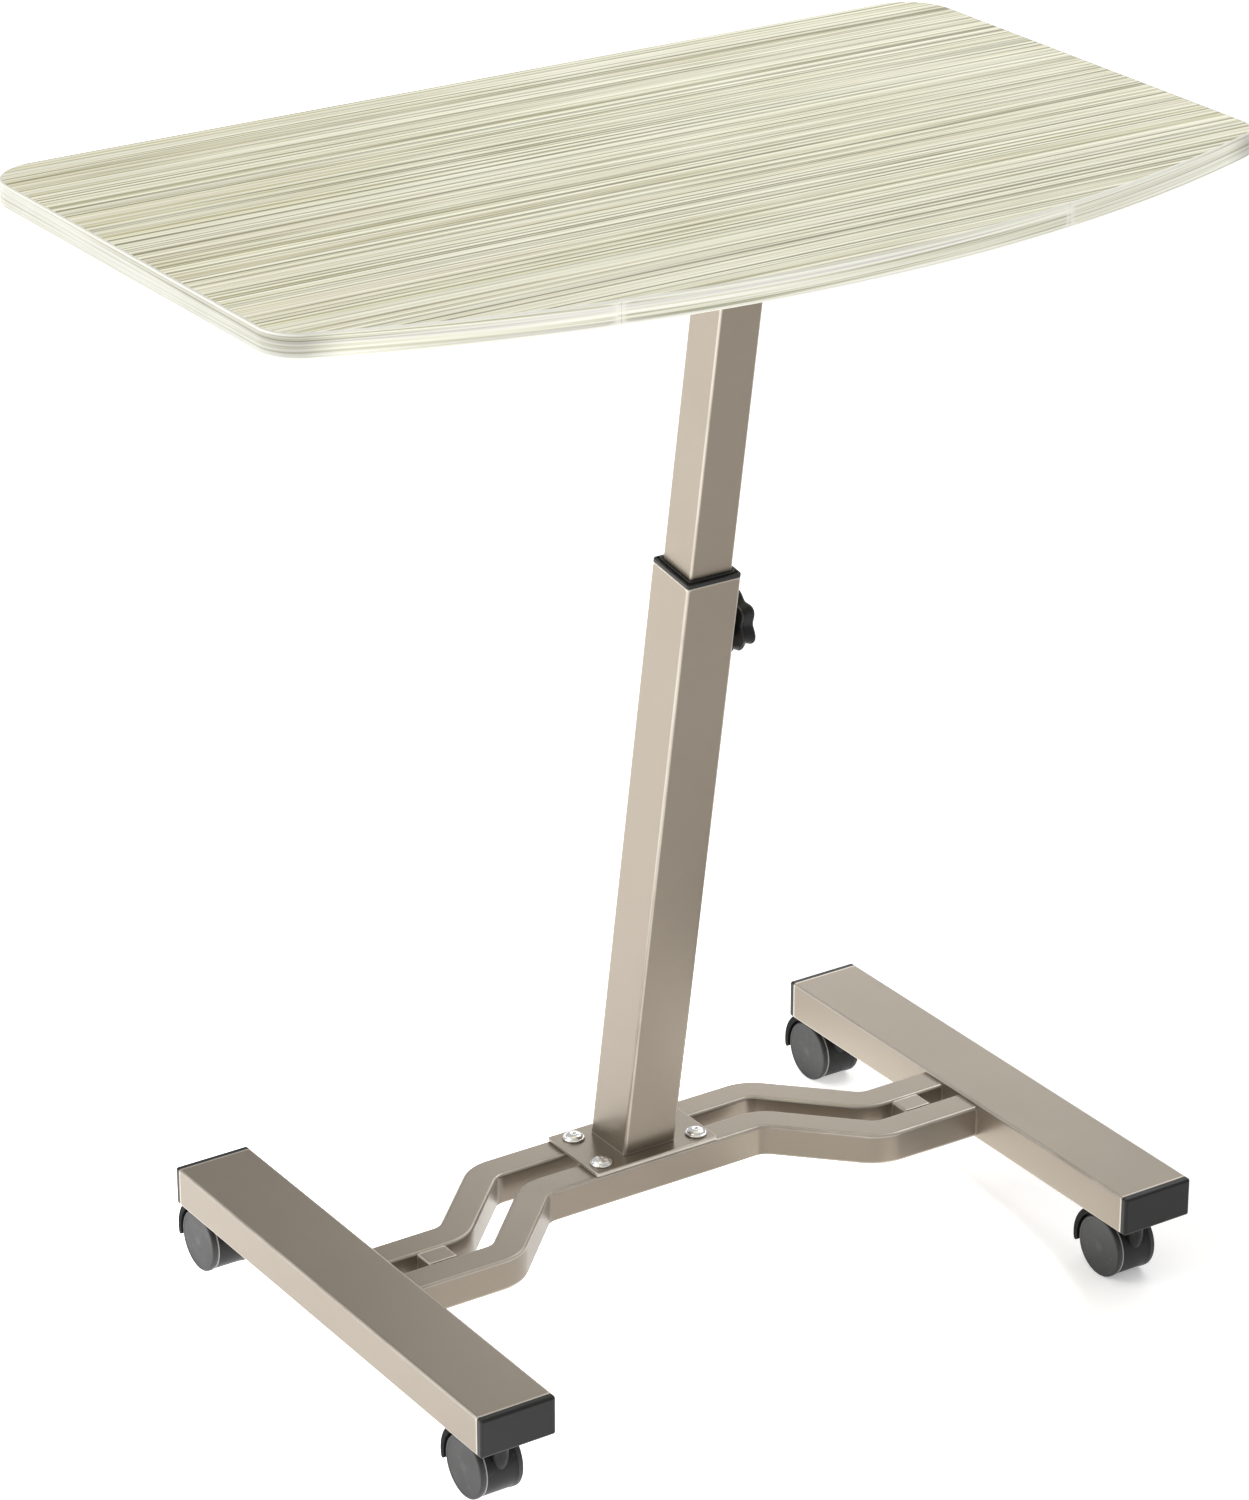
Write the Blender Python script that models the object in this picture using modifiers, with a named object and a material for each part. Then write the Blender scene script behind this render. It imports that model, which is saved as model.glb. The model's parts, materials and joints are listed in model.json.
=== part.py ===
"""Overbed table on a wheeled H-shaped base, with a height-adjustable leaning mast.

The frame is in metres with +Z up. The origin is on the floor, under the middle of the whole object.
+X runs along the crossbars and -Y is the user's side, where the tabletop's long edge is curved.
"""

from math import atan2, cos, pi, radians, sin, sqrt

import bmesh
import bpy
from mathutils import Matrix, Vector

GAP = 0.0003

# Legs: two flat steel tubes that run along Y.
LEG_WIDTH = 0.060
LEG_HEIGHT = 0.030
LEG_BOTTOM_Z = 0.0568
LEG_CENTRE_X = 0.2753
LEG_FRONT_Y = -0.2355
LEG_BACK_Y = 0.1780
LEG_CORNER = 0.0025
WALL = 0.0015

# End caps: a bevelled face proud of the tube's end, and a plug that fits inside the leg.
CAP_FACE = 0.0055
CAP_BEVEL = 0.0022
CAP_PLUG = 0.012

# Crossbars: two square tubes side by side, both stepped backwards in the middle.
BAR_SIZE = 0.025
BAR_CORNER = 0.0030
BAR_PITCH = 0.0434
BAR_Z = LEG_BOTTOM_Z + 0.0147
BAR_OUTER_Y = -0.0279
BAR_MIDDLE_Y = 0.0367
BAR_STEP_START_X = 0.1731
BAR_BEND_RADIUS = 0.026
BAR_END_X = LEG_CENTRE_X - LEG_WIDTH / 2 - GAP
SPACER_X = 0.209
SPACER_SIZE = 0.024

# Base plate with its four bolts, screwed into nuts inside the crossbars.
PLATE_SIZE_X = 0.107
PLATE_SIZE_Y = 0.0682
PLATE_THICKNESS = 0.003
PLATE_BOTTOM_Z = BAR_Z + BAR_SIZE / 2 + GAP
PLATE_TOP_Z = PLATE_BOTTOM_Z + PLATE_THICKNESS
BOLT_FRONT_X = 0.042
BOLT_BACK_X = 0.038
BOLT_RADIUS = 0.004
BOLT_HEAD_RADIUS = 0.0074
BOLT_HEAD_HEIGHT = 0.0042
BOLT_LENGTH = 0.014
NUT_FLATS = 0.013
NUT_HEIGHT = 0.0065
HOLE_RADIUS = 0.0044

# Mast: two telescoping square tubes that lean towards the user.
MAST_LEAN = radians(9.44)
MAST_FOOT = Vector((0.0, BAR_MIDDLE_Y, PLATE_TOP_Z + GAP))
OUTER_TUBE = 0.045
OUTER_CORNER = 0.0032
OUTER_LENGTH = 0.4875
INNER_TUBE = 0.035
INNER_CORNER = 0.0028
INNER_START = 0.372
COLLAR_FLANGE = 0.0028
COLLAR_SLEEVE = 0.030
GUIDE_LENGTH = 0.018

# Clamp: a knob and screw in a threaded boss on the mast's right side.
CLAMP_ALONG = 0.437
BOSS_RADIUS = 0.009
BOSS_LENGTH = 0.0037
KNOB_RADIUS = 0.0225
KNOB_LOBE_DEPTH = 0.0058
KNOB_LOBES = 6
KNOB_LOBE_PHASE = radians(20)
KNOB_RIM = 0.0115
KNOB_HUB_RADIUS = 0.011
KNOB_HUB = 0.0038
CLAMP_SCREW_LENGTH = 0.017

# Tabletop: a laminated panel in a plastic edge band, on a steel plate.
TOP_HALF_X = 0.3925
TOP_BACK_Y = 0.2410
TOP_FRONT_Y = -0.2335
TOP_FRONT_RADIUS = 1.036
TOP_BACK_CORNER = 0.038
TOP_FRONT_CORNER = 0.030
TOP_Z = 0.8480
TOP_THICKNESS = 0.017
BAND_THICKNESS = 0.002
BAND_ARRIS = 0.0014
MOUNT_SIZE_X = 0.150
MOUNT_SIZE_Y = 0.120
MOUNT_THICKNESS = 0.003
MOUNT_SCREW_X = 0.060
MOUNT_SCREW_Y = 0.045
MOUNT_SCREW_RADIUS = 0.002
MOUNT_SCREW_LENGTH = 0.012

# Casters: twin wheels on one axle, trailing behind a vertical stem.
CASTER_INSET = 0.0259
CASTER_TRAIL = 0.0191
WHEEL_RADIUS = 0.0236
WHEEL_WIDTH = 0.0042
WHEEL_SHOULDER = 0.0015
WEB_WIDTH = 0.0255
WEB_RADIUS = WHEEL_RADIUS - 0.0005
FENDER_INNER = WHEEL_RADIUS + 0.0020
FENDER_OUTER = WHEEL_RADIUS + 0.0067
FENDER_FROM = radians(-14)
FENDER_TO = radians(118)
AXLE_RADIUS = 0.003
AXLE_HALF = 0.0152
STEM_RADIUS = 0.004
STEM_BOSS_RADIUS = 0.0068
STEM_BOSS_TOP = LEG_BOTTOM_Z - 0.0022
STEM_BOTTOM = 0.0375
STEM_TOP = LEG_BOTTOM_Z + 0.015
STEM_COLLAR_RADIUS = 0.0066

TOP_BOTTOM_Z = TOP_Z - TOP_THICKNESS
MOUNT_BOTTOM_Z = TOP_BOTTOM_Z - GAP - MOUNT_THICKNESS
MAST_AXIS = Vector((0.0, -sin(MAST_LEAN), cos(MAST_LEAN)))
INNER_END = (MOUNT_BOTTOM_Z - GAP - MAST_FOOT.z) / MAST_AXIS.z
MAST_HEAD = MAST_FOOT + MAST_AXIS * INNER_END
SIDES = {"left": -1, "right": 1}
CORNERS = {"fl": (-1, -1), "fr": (1, -1), "bl": (-1, 1), "br": (1, 1)}

COLOURS = {
    "laminate": ((0.70, 0.69, 0.55), 0.45, 0.0),
    "edge_band": ((0.80, 0.79, 0.68), 0.45, 0.0),
    "powder_coat": ((0.40, 0.34, 0.28), 0.35, 0.6),
    "black_plastic": ((0.035, 0.035, 0.037), 0.5, 0.0),
    "wheel_plastic": ((0.10, 0.10, 0.105), 0.55, 0.0),
    "zinc_steel": ((0.62, 0.62, 0.60), 0.35, 1.0),
    "bright_steel": ((0.80, 0.80, 0.80), 0.15, 1.0),
}


def clear_scene():
    for item in list(bpy.data.objects):
        bpy.data.objects.remove(item, do_unlink=True)


def make_collection(name, hidden):
    collection = bpy.data.collections.new(name)
    bpy.context.scene.collection.children.link(collection)
    collection.hide_render = hidden
    return collection


def make_material(part_name, finish):
    colour, roughness, metallic = COLOURS[finish]
    material = bpy.data.materials.new(part_name + "_" + finish)
    material.use_nodes = True
    shader = material.node_tree.nodes["Principled BSDF"]
    shader.inputs["Base Color"].default_value = (*colour, 1.0)
    shader.inputs["Roughness"].default_value = roughness
    shader.inputs["Metallic"].default_value = metallic
    return material


def make_empty(name, place):
    empty = bpy.data.objects.new(name, None)
    empty.matrix_world = place
    PARTS.objects.link(empty)
    return empty


def add_part(name, mesh, finish, parent):
    """A named sub-part whose mesh is in the parent empty's frame."""
    part = bpy.data.objects.new(name, mesh)
    part.data.materials.clear()
    part.data.materials.append(make_material(name, finish))
    PARTS.objects.link(part)
    part.parent = parent
    return part


def add_cutter(mesh, parent):
    cutter = bpy.data.objects.new("cutter", mesh)
    CUTTERS.objects.link(cutter)
    cutter.parent = parent
    cutter.hide_render = True
    cutter.display_type = "WIRE"
    return cutter


def boolean(part, meshes, operation):
    """Cuts each mesh from the part, or joins it to the part."""
    for mesh in meshes:
        modifier = part.modifiers.new(operation.lower(), "BOOLEAN")
        modifier.operation = operation
        modifier.solver = "EXACT"
        modifier.object = add_cutter(mesh, part.parent)


def smooth(mesh, angle_degrees=35):
    mesh.shade_smooth()
    mesh.set_sharp_from_angle(angle=radians(angle_degrees))
    return mesh


def cylinder(radius, low, high, sides=24, tip_radius=None):
    """A cylinder, or a cone with its tip radius at the top, standing on Z from low to high."""
    shape = bmesh.new()
    bmesh.ops.create_cone(
        shape,
        cap_ends=True,
        segments=sides,
        radius1=radius,
        radius2=radius if tip_radius is None else tip_radius,
        depth=high - low,
        matrix=Matrix.Translation((0, 0, (high + low) / 2)),
    )
    return finished_mesh(shape)


def box(size, centre):
    shape = bmesh.new()
    bmesh.ops.create_cube(
        shape, size=1.0, matrix=Matrix.Translation(centre) @ Matrix.Diagonal((*size, 1.0))
    )
    return finished_mesh(shape)


def finished_mesh(shape):
    mesh = bpy.data.meshes.new("shape")
    bmesh.ops.recalc_face_normals(shape, faces=shape.faces)
    shape.to_mesh(mesh)
    shape.free()
    return mesh


def moved(mesh, place):
    mesh.transform(place)
    return mesh


def arc(centre, radius, start, end, steps):
    """Points of an arc about centre, from the start angle to the end angle."""
    angles = [start + (end - start) * i / steps for i in range(steps + 1)]
    return [(centre[0] + radius * cos(a), centre[1] + radius * sin(a)) for a in angles]


def rounded_rectangle(size_x, size_y, radius, steps=3):
    points = []
    for index, (side_x, side_y) in enumerate(((1, 1), (-1, 1), (-1, -1), (1, -1))):
        centre = (side_x * (size_x / 2 - radius), side_y * (size_y / 2 - radius))
        points += arc(centre, radius, index * pi / 2, (index + 1) * pi / 2, steps)
    return points


def prism(outlines, low, high):
    """A flat outline, with any further outlines as holes, extruded along Z from low to high."""
    curve = bpy.data.curves.new("outline", "CURVE")
    curve.dimensions = "2D"
    curve.fill_mode = "BOTH"
    curve.extrude = (high - low) / 2
    for outline in outlines:
        spline = curve.splines.new("POLY")
        spline.points.add(len(outline) - 1)
        for point, (x, y) in zip(spline.points, outline):
            point.co = (x, y, 0.0, 1.0)
        spline.use_cyclic_u = True
    holder = bpy.data.objects.new("outline", curve)
    CUTTERS.objects.link(holder)
    bpy.context.view_layer.update()
    evaluated = holder.evaluated_get(bpy.context.evaluated_depsgraph_get())
    mesh = bpy.data.meshes.new_from_object(evaluated)
    bpy.data.objects.remove(holder, do_unlink=True)
    shape = bmesh.new()
    shape.from_mesh(mesh)
    bmesh.ops.remove_doubles(shape, verts=shape.verts, dist=1e-6)
    bmesh.ops.translate(shape, verts=shape.verts, vec=(0, 0, (high + low) / 2))
    bpy.data.meshes.remove(mesh)
    return finished_mesh(shape)


def bevel_edges(mesh, width, steps, chosen):
    """Rounds the edges for which chosen(edge) is true."""
    shape = bmesh.new()
    shape.from_mesh(mesh)
    edges = [edge for edge in shape.edges if edge.calc_face_angle(0.0) > radians(30) and chosen(edge)]
    bmesh.ops.bevel(
        shape, geom=edges, offset=width, segments=steps, profile=0.5, affect="EDGES", clamp_overlap=True
    )
    bmesh.ops.recalc_face_normals(shape, faces=shape.faces)
    shape.to_mesh(mesh)
    shape.free()
    return mesh


def add_turned(name, profile, steps, finish, parent, place=Matrix.Identity(4)):
    """A turned part: the profile's (radius, height) points run down its outer side, top to bottom."""
    shape = bmesh.new()
    vertices = [shape.verts.new((radius, 0.0, height)) for radius, height in profile]
    ends = list(zip(vertices, vertices[1:]))
    if profile[0][0] > 0.0:
        ends.append((vertices[-1], vertices[0]))
    for start, end in ends:
        shape.edges.new((start, end))
    mesh = bpy.data.meshes.new(name)
    shape.to_mesh(mesh)
    shape.free()
    part = add_part(name, mesh, finish, parent)
    part.matrix_local = place
    screw = part.modifiers.new("turn", "SCREW")
    screw.axis = "Z"
    screw.steps = steps
    screw.render_steps = steps
    screw.use_merge_vertices = True
    screw.merge_threshold = 0.00001
    screw.use_smooth_shade = False
    return part


def square_tube(size_x, size_y, corner, wall, low, high):
    outer = rounded_rectangle(size_x, size_y, corner)
    inner = rounded_rectangle(size_x - 2 * wall, size_y - 2 * wall, corner - wall / 2)
    return smooth(prism([outer, inner], low, high), 40)


def make_legs():
    along_y = Matrix.Rotation(-pi / 2, 4, "X")
    for side, sign in SIDES.items():
        place = Matrix.Translation((sign * LEG_CENTRE_X, 0, LEG_BOTTOM_Z + LEG_HEIGHT / 2))
        tube = square_tube(LEG_WIDTH, LEG_HEIGHT, LEG_CORNER, WALL, LEG_FRONT_Y, LEG_BACK_Y)
        leg = add_part("leg_tube_" + side, moved(tube, place @ along_y), "powder_coat", BASE_FRAME)
        holes = [
            moved(
                cylinder(HOLE_RADIUS, LEG_BOTTOM_Z - 0.002, LEG_BOTTOM_Z + 0.004, 16),
                Matrix.Translation((sign * LEG_CENTRE_X, caster_y(end), 0)),
            )
            for end in (-1, 1)
        ]
        boolean(leg, holes, "DIFFERENCE")


def end_cap_mesh():
    """The cap's visible face, pointing to +Z, with the tube's end at height 0."""
    face = prism([rounded_rectangle(LEG_WIDTH, LEG_HEIGHT, LEG_CORNER)], GAP, CAP_FACE)
    bevel_edges(face, CAP_BEVEL, 2, lambda edge: all(v.co.z > CAP_FACE - 1e-5 for v in edge.verts))
    return face


def make_end_caps():
    plug_x = LEG_WIDTH - 2 * WALL - 2 * GAP
    plug_y = LEG_HEIGHT - 2 * WALL - 2 * GAP
    for corner, (side, end) in CORNERS.items():
        end_y = LEG_BACK_Y if end > 0 else LEG_FRONT_Y
        outwards = Matrix.Rotation(-end * pi / 2, 4, "X")
        place = Matrix.Translation((side * LEG_CENTRE_X, end_y, LEG_BOTTOM_Z + LEG_HEIGHT / 2)) @ outwards
        cap = add_part("end_cap_" + corner, moved(end_cap_mesh(), place), "black_plastic", BASE_FRAME)
        outer = rounded_rectangle(plug_x, plug_y, 0.0015, 1)
        inner = rounded_rectangle(plug_x - 0.004, plug_y - 0.004, 0.0008, 1)
        plug = prism([outer, inner], -CAP_PLUG, GAP * 4)
        boolean(cap, [moved(plug, place)], "UNION")


def bent_path(middle_offset):
    """Half of a crossbar's centre line in plan, from the leg to the middle, as (x, y) corners.

    middle_offset is the tube's distance behind the pair's own centre line. Two parallel tubes
    that bend by 45 degrees have their corners shifted along X by that offset times tan(22.5).
    """
    shift = middle_offset * (sqrt(2) - 1)
    step = BAR_MIDDLE_Y - BAR_OUTER_Y
    start_x = BAR_STEP_START_X + shift
    return [
        (BAR_END_X, BAR_OUTER_Y + middle_offset),
        (start_x, BAR_OUTER_Y + middle_offset),
        (start_x - step, BAR_MIDDLE_Y + middle_offset),
        (0.0, BAR_MIDDLE_Y + middle_offset),
    ]


def offset_path(corners, distance, radius, steps=4):
    """The corners moved sideways by distance, each bend rounded so that the centre line has the radius."""
    points = [Vector(corner) for corner in corners]
    result = [points[0] + left_of(points[0], points[1]) * distance]
    for before, corner, after in zip(points, points[1:], points[2:]):
        incoming = (corner - before).normalized()
        outgoing = (after - corner).normalized()
        turn = incoming.cross(outgoing)
        sign = 1 if turn > 0 else -1
        half_turn = incoming.angle(outgoing) / 2
        centre = corner + (outgoing - incoming).normalized() * radius / cos(half_turn)
        bend = radius - sign * distance
        start = atan2(*reversed(left_of(before, corner) * -sign))
        end = start + sign * 2 * half_turn
        result += [Vector(point) for point in arc(centre, bend, start, end, steps)]
    result.append(points[-1] + left_of(points[-2], points[-1]) * distance)
    return [(point.x, point.y) for point in result]


def left_of(start, end):
    along = (end - start).normalized()
    return Vector((-along.y, along.x))


def bar_outline(middle_offset, half_width, extra_length=0.0):
    """The plan outline of a whole crossbar: its right half, mirrored to the left."""
    corners = bent_path(middle_offset)
    corners[0] = (corners[0][0] + extra_length, corners[0][1])
    front = offset_path(corners, half_width, BAR_BEND_RADIUS)[:-1]
    back = offset_path(corners, -half_width, BAR_BEND_RADIUS)[:-1]
    return (
        front
        + [(-x, y) for x, y in reversed(front)]
        + [(-x, y) for x, y in back]
        + list(reversed(back))
    )


def make_crossbars():
    low = BAR_Z - BAR_SIZE / 2
    high = BAR_Z + BAR_SIZE / 2
    for name, end in (("front", -1), ("back", 1)):
        offset = end * BAR_PITCH / 2
        solid = prism([bar_outline(offset, BAR_SIZE / 2)], low, high)
        bevel_edges(
            solid,
            BAR_CORNER,
            2,
            lambda edge: abs(edge.verts[0].co.z - edge.verts[1].co.z) < 1e-6
            and min(abs(v.co.x) for v in edge.verts) < BAR_END_X - 1e-5,
        )
        bar = add_part("crossbar_" + name, smooth(solid, 50), "powder_coat", BASE_FRAME)
        hollow = prism([bar_outline(offset, BAR_SIZE / 2 - WALL, 0.01)], low + WALL, high - WALL)
        bolt_x = BOLT_BACK_X if end > 0 else BOLT_FRONT_X
        holes = [
            moved(
                cylinder(HOLE_RADIUS, high - 0.004, high + 0.004, 16),
                Matrix.Translation((sign * bolt_x, BAR_MIDDLE_Y + offset, 0)),
            )
            for sign in (-1, 1)
        ]
        boolean(bar, [hollow] + holes, "DIFFERENCE")


def make_spacers():
    along_y = Matrix.Rotation(-pi / 2, 4, "X")
    half_length = (BAR_PITCH - BAR_SIZE) / 2 - GAP
    for side, sign in SIDES.items():
        tube = square_tube(SPACER_SIZE, SPACER_SIZE, 0.002, WALL, -half_length, half_length)
        place = Matrix.Translation((sign * SPACER_X, BAR_OUTER_Y, BAR_Z)) @ along_y
        add_part("crossbar_spacer_" + side, moved(tube, place), "powder_coat", BASE_FRAME)


def bolt_place(corner):
    side, end = CORNERS[corner]
    bolt_x = BOLT_BACK_X if end > 0 else BOLT_FRONT_X
    return Matrix.Translation((side * bolt_x, BAR_MIDDLE_Y + end * BAR_PITCH / 2, PLATE_TOP_Z))


def make_base_plate():
    plate = prism([rounded_rectangle(PLATE_SIZE_X, PLATE_SIZE_Y, 0.0015, 1)], PLATE_BOTTOM_Z, PLATE_TOP_Z)
    bevel_edges(plate, 0.0006, 1, lambda edge: all(v.co.z > PLATE_TOP_Z - 1e-6 for v in edge.verts))
    moved(plate, Matrix.Translation((0, BAR_MIDDLE_Y, 0)))
    part = add_part("mast_base_plate", plate, "powder_coat", BASE_FRAME)
    holes = [moved(cylinder(HOLE_RADIUS, -0.006, 0.004, 16), bolt_place(corner)) for corner in CORNERS]
    boolean(part, holes, "DIFFERENCE")


def dome(radius, height, steps):
    """The (radius, height) points of a shallow dome, from its top down to its rim."""
    sphere = (radius * radius + height * height) / (2 * height)
    half_angle = atan2(radius, sphere - height)
    angles = [half_angle * i / steps for i in range(steps + 1)]
    return [(sphere * sin(a), sphere * cos(a) - sphere + height) for a in angles]


def make_base_bolts():
    head = [(r, z + GAP + 0.001) for r, z in dome(BOLT_HEAD_RADIUS, BOLT_HEAD_HEIGHT - 0.001, 3)]
    shank = [(BOLT_HEAD_RADIUS, GAP), (BOLT_RADIUS, GAP), (BOLT_RADIUS, -BOLT_LENGTH), (0.0, -BOLT_LENGTH)]
    nut_top = -PLATE_THICKNESS - 2 * GAP - WALL
    for corner in CORNERS:
        place = bolt_place(corner)
        bolt = add_turned("base_bolt_" + corner, head + shank, 16, "bright_steel", BASE_FRAME, place)
        bolt.modifiers["turn"].use_smooth_shade = True
        nut = cylinder(NUT_FLATS / sqrt(3), nut_top - NUT_HEIGHT, nut_top, 6)
        part = add_part("base_nut_" + corner, moved(nut, place), "zinc_steel", BASE_FRAME)
        hole = cylinder(BOLT_RADIUS + GAP, nut_top - 2 * NUT_HEIGHT, nut_top + NUT_HEIGHT, 16)
        boolean(part, [moved(hole, place)], "DIFFERENCE")


def level_cutter(height_z, above):
    """A block in the mast's frame, above or below the level plane at a world height."""
    size = 0.3
    centre = MAST_FOOT + MAST_AXIS * ((height_z - MAST_FOOT.z) / MAST_AXIS.z)
    centre = Vector((centre.x, centre.y, height_z + (size / 2 if above else -size / 2)))
    return moved(box((size, size, size), centre), MAST_MATRIX.inverted())


def clamp_place(along_x):
    """Turns +Z to point along +X, at the clamp's axis in the mast's frame."""
    return Matrix.Translation((along_x, 0, CLAMP_ALONG)) @ Matrix.Rotation(pi / 2, 4, "Y")


def make_mast():
    outer = square_tube(OUTER_TUBE, OUTER_TUBE, OUTER_CORNER, WALL, -0.02, OUTER_LENGTH)
    outer_tube = add_part("outer_mast_tube", outer, "powder_coat", MAST_FRAME)
    hole = moved(cylinder(HOLE_RADIUS, -0.004, 0.004, 16), clamp_place(OUTER_TUBE / 2))
    boolean(outer_tube, [level_cutter(MAST_FOOT.z, False), hole], "DIFFERENCE")
    inner = square_tube(INNER_TUBE, INNER_TUBE, INNER_CORNER, WALL, INNER_START, INNER_END + 0.02)
    inner_tube = add_part("inner_mast_tube", inner, "powder_coat", SLIDE_FRAME)
    boolean(inner_tube, [level_cutter(MOUNT_BOTTOM_Z - GAP, True)], "DIFFERENCE")


def make_collar():
    """The bushing in the mouth of the outer tube: a flange, a raised lip and a sleeve inside."""
    bore = INNER_TUBE + 2 * GAP
    sleeve_size = OUTER_TUBE - 2 * WALL - 2 * GAP
    lip_size = INNER_TUBE + 0.0042
    hole = rounded_rectangle(bore, bore, INNER_CORNER)
    seat = OUTER_LENGTH + GAP
    top = seat + COLLAR_FLANGE
    flange_outline = rounded_rectangle(OUTER_TUBE, OUTER_TUBE, OUTER_CORNER)
    flange = prism([flange_outline, hole], seat, top)
    bevel_edges(
        flange,
        0.0007,
        1,
        lambda edge: all(v.co.z > top - 1e-6 and max(abs(v.co.x), abs(v.co.y)) > 0.019 for v in edge.verts),
    )
    collar = add_part("collar_bushing", flange, "black_plastic", MAST_FRAME)
    sleeve = prism(
        [rounded_rectangle(sleeve_size, sleeve_size, OUTER_CORNER - WALL), hole],
        OUTER_LENGTH - COLLAR_SLEEVE,
        seat + 0.001,
    )
    lip = prism([rounded_rectangle(lip_size, lip_size, INNER_CORNER + 0.001), hole], seat + 0.001, top + 0.0012)
    boolean(collar, [sleeve, lip], "UNION")


def make_inner_guide():
    """The plastic glide on the foot of the inner tube: a block below it and a plug inside it."""
    block_size = OUTER_TUBE - 2 * WALL - 2 * GAP
    plug_size = INNER_TUBE - 2 * WALL - 2 * GAP
    top = INNER_START - GAP
    block = prism([rounded_rectangle(block_size, block_size, 0.003)], top - GUIDE_LENGTH, top)
    guide = add_part("inner_tube_guide", block, "black_plastic", SLIDE_FRAME)
    plug = prism([rounded_rectangle(plug_size, plug_size, 0.001, 1)], top - 0.002, top + GUIDE_LENGTH)
    boolean(guide, [plug], "UNION")


def make_clamp():
    seat = OUTER_TUBE / 2 + GAP
    boss_profile = [
        (STEM_RADIUS + GAP, BOSS_LENGTH),
        (BOSS_RADIUS - 0.001, BOSS_LENGTH),
        (BOSS_RADIUS, BOSS_LENGTH - 0.001),
        (BOSS_RADIUS, 0.0),
        (STEM_RADIUS + GAP, 0.0),
    ]
    add_turned("clamp_boss", boss_profile, 24, "powder_coat", MAST_FRAME, clamp_place(seat))
    tip_x = INNER_TUBE / 2 + GAP
    screw_profile = [
        (0.0, CLAMP_SCREW_LENGTH),
        (STEM_RADIUS, CLAMP_SCREW_LENGTH),
        (STEM_RADIUS, 0.001),
        (STEM_RADIUS - 0.001, 0.0),
        (0.0, 0.0),
    ]
    add_turned("clamp_screw", screw_profile, 20, "zinc_steel", MAST_FRAME, clamp_place(tip_x))
    knob_x = seat + BOSS_LENGTH + 2 * GAP
    rim_low = KNOB_HUB - 0.0005
    rim = prism([knob_outline()], rim_low, KNOB_HUB + KNOB_RIM)
    bevel_edges(rim, 0.0016, 2, lambda edge: abs(edge.verts[0].co.z - edge.verts[1].co.z) < 1e-6)
    knob = add_part("clamp_knob", smooth(moved(rim, clamp_place(knob_x)), 50), "black_plastic", MAST_FRAME)
    hub = moved(cylinder(KNOB_HUB_RADIUS, 0.0, KNOB_HUB + 0.002, 24), clamp_place(knob_x))
    boolean(knob, [hub], "UNION")
    bore_depth = tip_x + CLAMP_SCREW_LENGTH + GAP - knob_x
    bore = moved(cylinder(STEM_RADIUS + GAP, -0.002, bore_depth, 20), clamp_place(knob_x))
    boolean(knob, [bore], "DIFFERENCE")


def knob_outline():
    """A soft star: the radius swings between the lobes and the waists."""
    count = KNOB_LOBES * 8
    outline = []
    for index in range(count):
        angle = 2 * pi * index / count
        swing = (1 - cos(KNOB_LOBES * (angle - KNOB_LOBE_PHASE))) / 2
        radius = KNOB_RADIUS - KNOB_LOBE_DEPTH * swing
        outline.append((radius * cos(angle), radius * sin(angle)))
    return outline


def tabletop_outline(inset):
    """The plan outline, inset from the edge: a straight back, two straight sides and a curved front."""
    half_x = TOP_HALF_X - inset
    back_corner = TOP_BACK_CORNER - inset
    front_corner = TOP_FRONT_CORNER - inset
    front_radius = TOP_FRONT_RADIUS - inset
    front_centre_y = TOP_FRONT_Y + TOP_FRONT_RADIUS
    corner_x = TOP_HALF_X - TOP_FRONT_CORNER
    reach = TOP_FRONT_RADIUS - TOP_FRONT_CORNER
    corner_y = front_centre_y - sqrt(reach * reach - corner_x * corner_x)
    swing = atan2(corner_x, front_centre_y - corner_y)
    back_centre = (half_x - back_corner, TOP_BACK_Y - TOP_BACK_CORNER)
    return (
        arc(back_centre, back_corner, 0, pi / 2, 6)
        + arc((-back_centre[0], back_centre[1]), back_corner, pi / 2, pi, 6)
        + arc((-corner_x, corner_y), front_corner, pi, 1.5 * pi - swing, 5)
        + arc((0, front_centre_y), front_radius, 1.5 * pi - swing, 1.5 * pi + swing, 16)[1:-1]
        + arc((corner_x, corner_y), front_corner, 1.5 * pi + swing, 2 * pi, 5)
    )


def make_tabletop():
    panel_mesh = prism([tabletop_outline(BAND_THICKNESS + GAP)], TOP_BOTTOM_Z, TOP_Z)
    panel = add_part("tabletop_panel", panel_mesh, "laminate", TOP_FRAME)
    panel.matrix_parent_inverse = TOP_FRAME.matrix_world.inverted()
    holes = [
        moved(cylinder(MOUNT_SCREW_RADIUS + GAP, -0.006, MOUNT_SCREW_LENGTH - 0.0015, 12), place)
        for place in mount_screw_places()
    ]
    boolean(panel, holes, "DIFFERENCE")
    for modifier in panel.modifiers:
        modifier.object.matrix_parent_inverse = TOP_FRAME.matrix_world.inverted()
    band_mesh = prism([tabletop_outline(0.0), tabletop_outline(BAND_THICKNESS)], TOP_BOTTOM_Z, TOP_Z)
    bevel_edges(band_mesh, BAND_ARRIS, 2, is_outer_rim)
    band = add_part("tabletop_edge_band", smooth(band_mesh, 50), "edge_band", TOP_FRAME)
    band.matrix_parent_inverse = TOP_FRAME.matrix_world.inverted()


def is_outer_rim(edge):
    """True for the band's top and bottom edges that face outwards."""
    if abs(edge.verts[0].co.z - edge.verts[1].co.z) > 1e-6:
        return False
    normals = [face.normal for face in edge.link_faces if abs(face.normal.z) < 0.5]
    middle = (edge.verts[0].co + edge.verts[1].co) / 2
    return bool(normals) and normals[0].x * middle.x + normals[0].y * middle.y > 0


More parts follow.
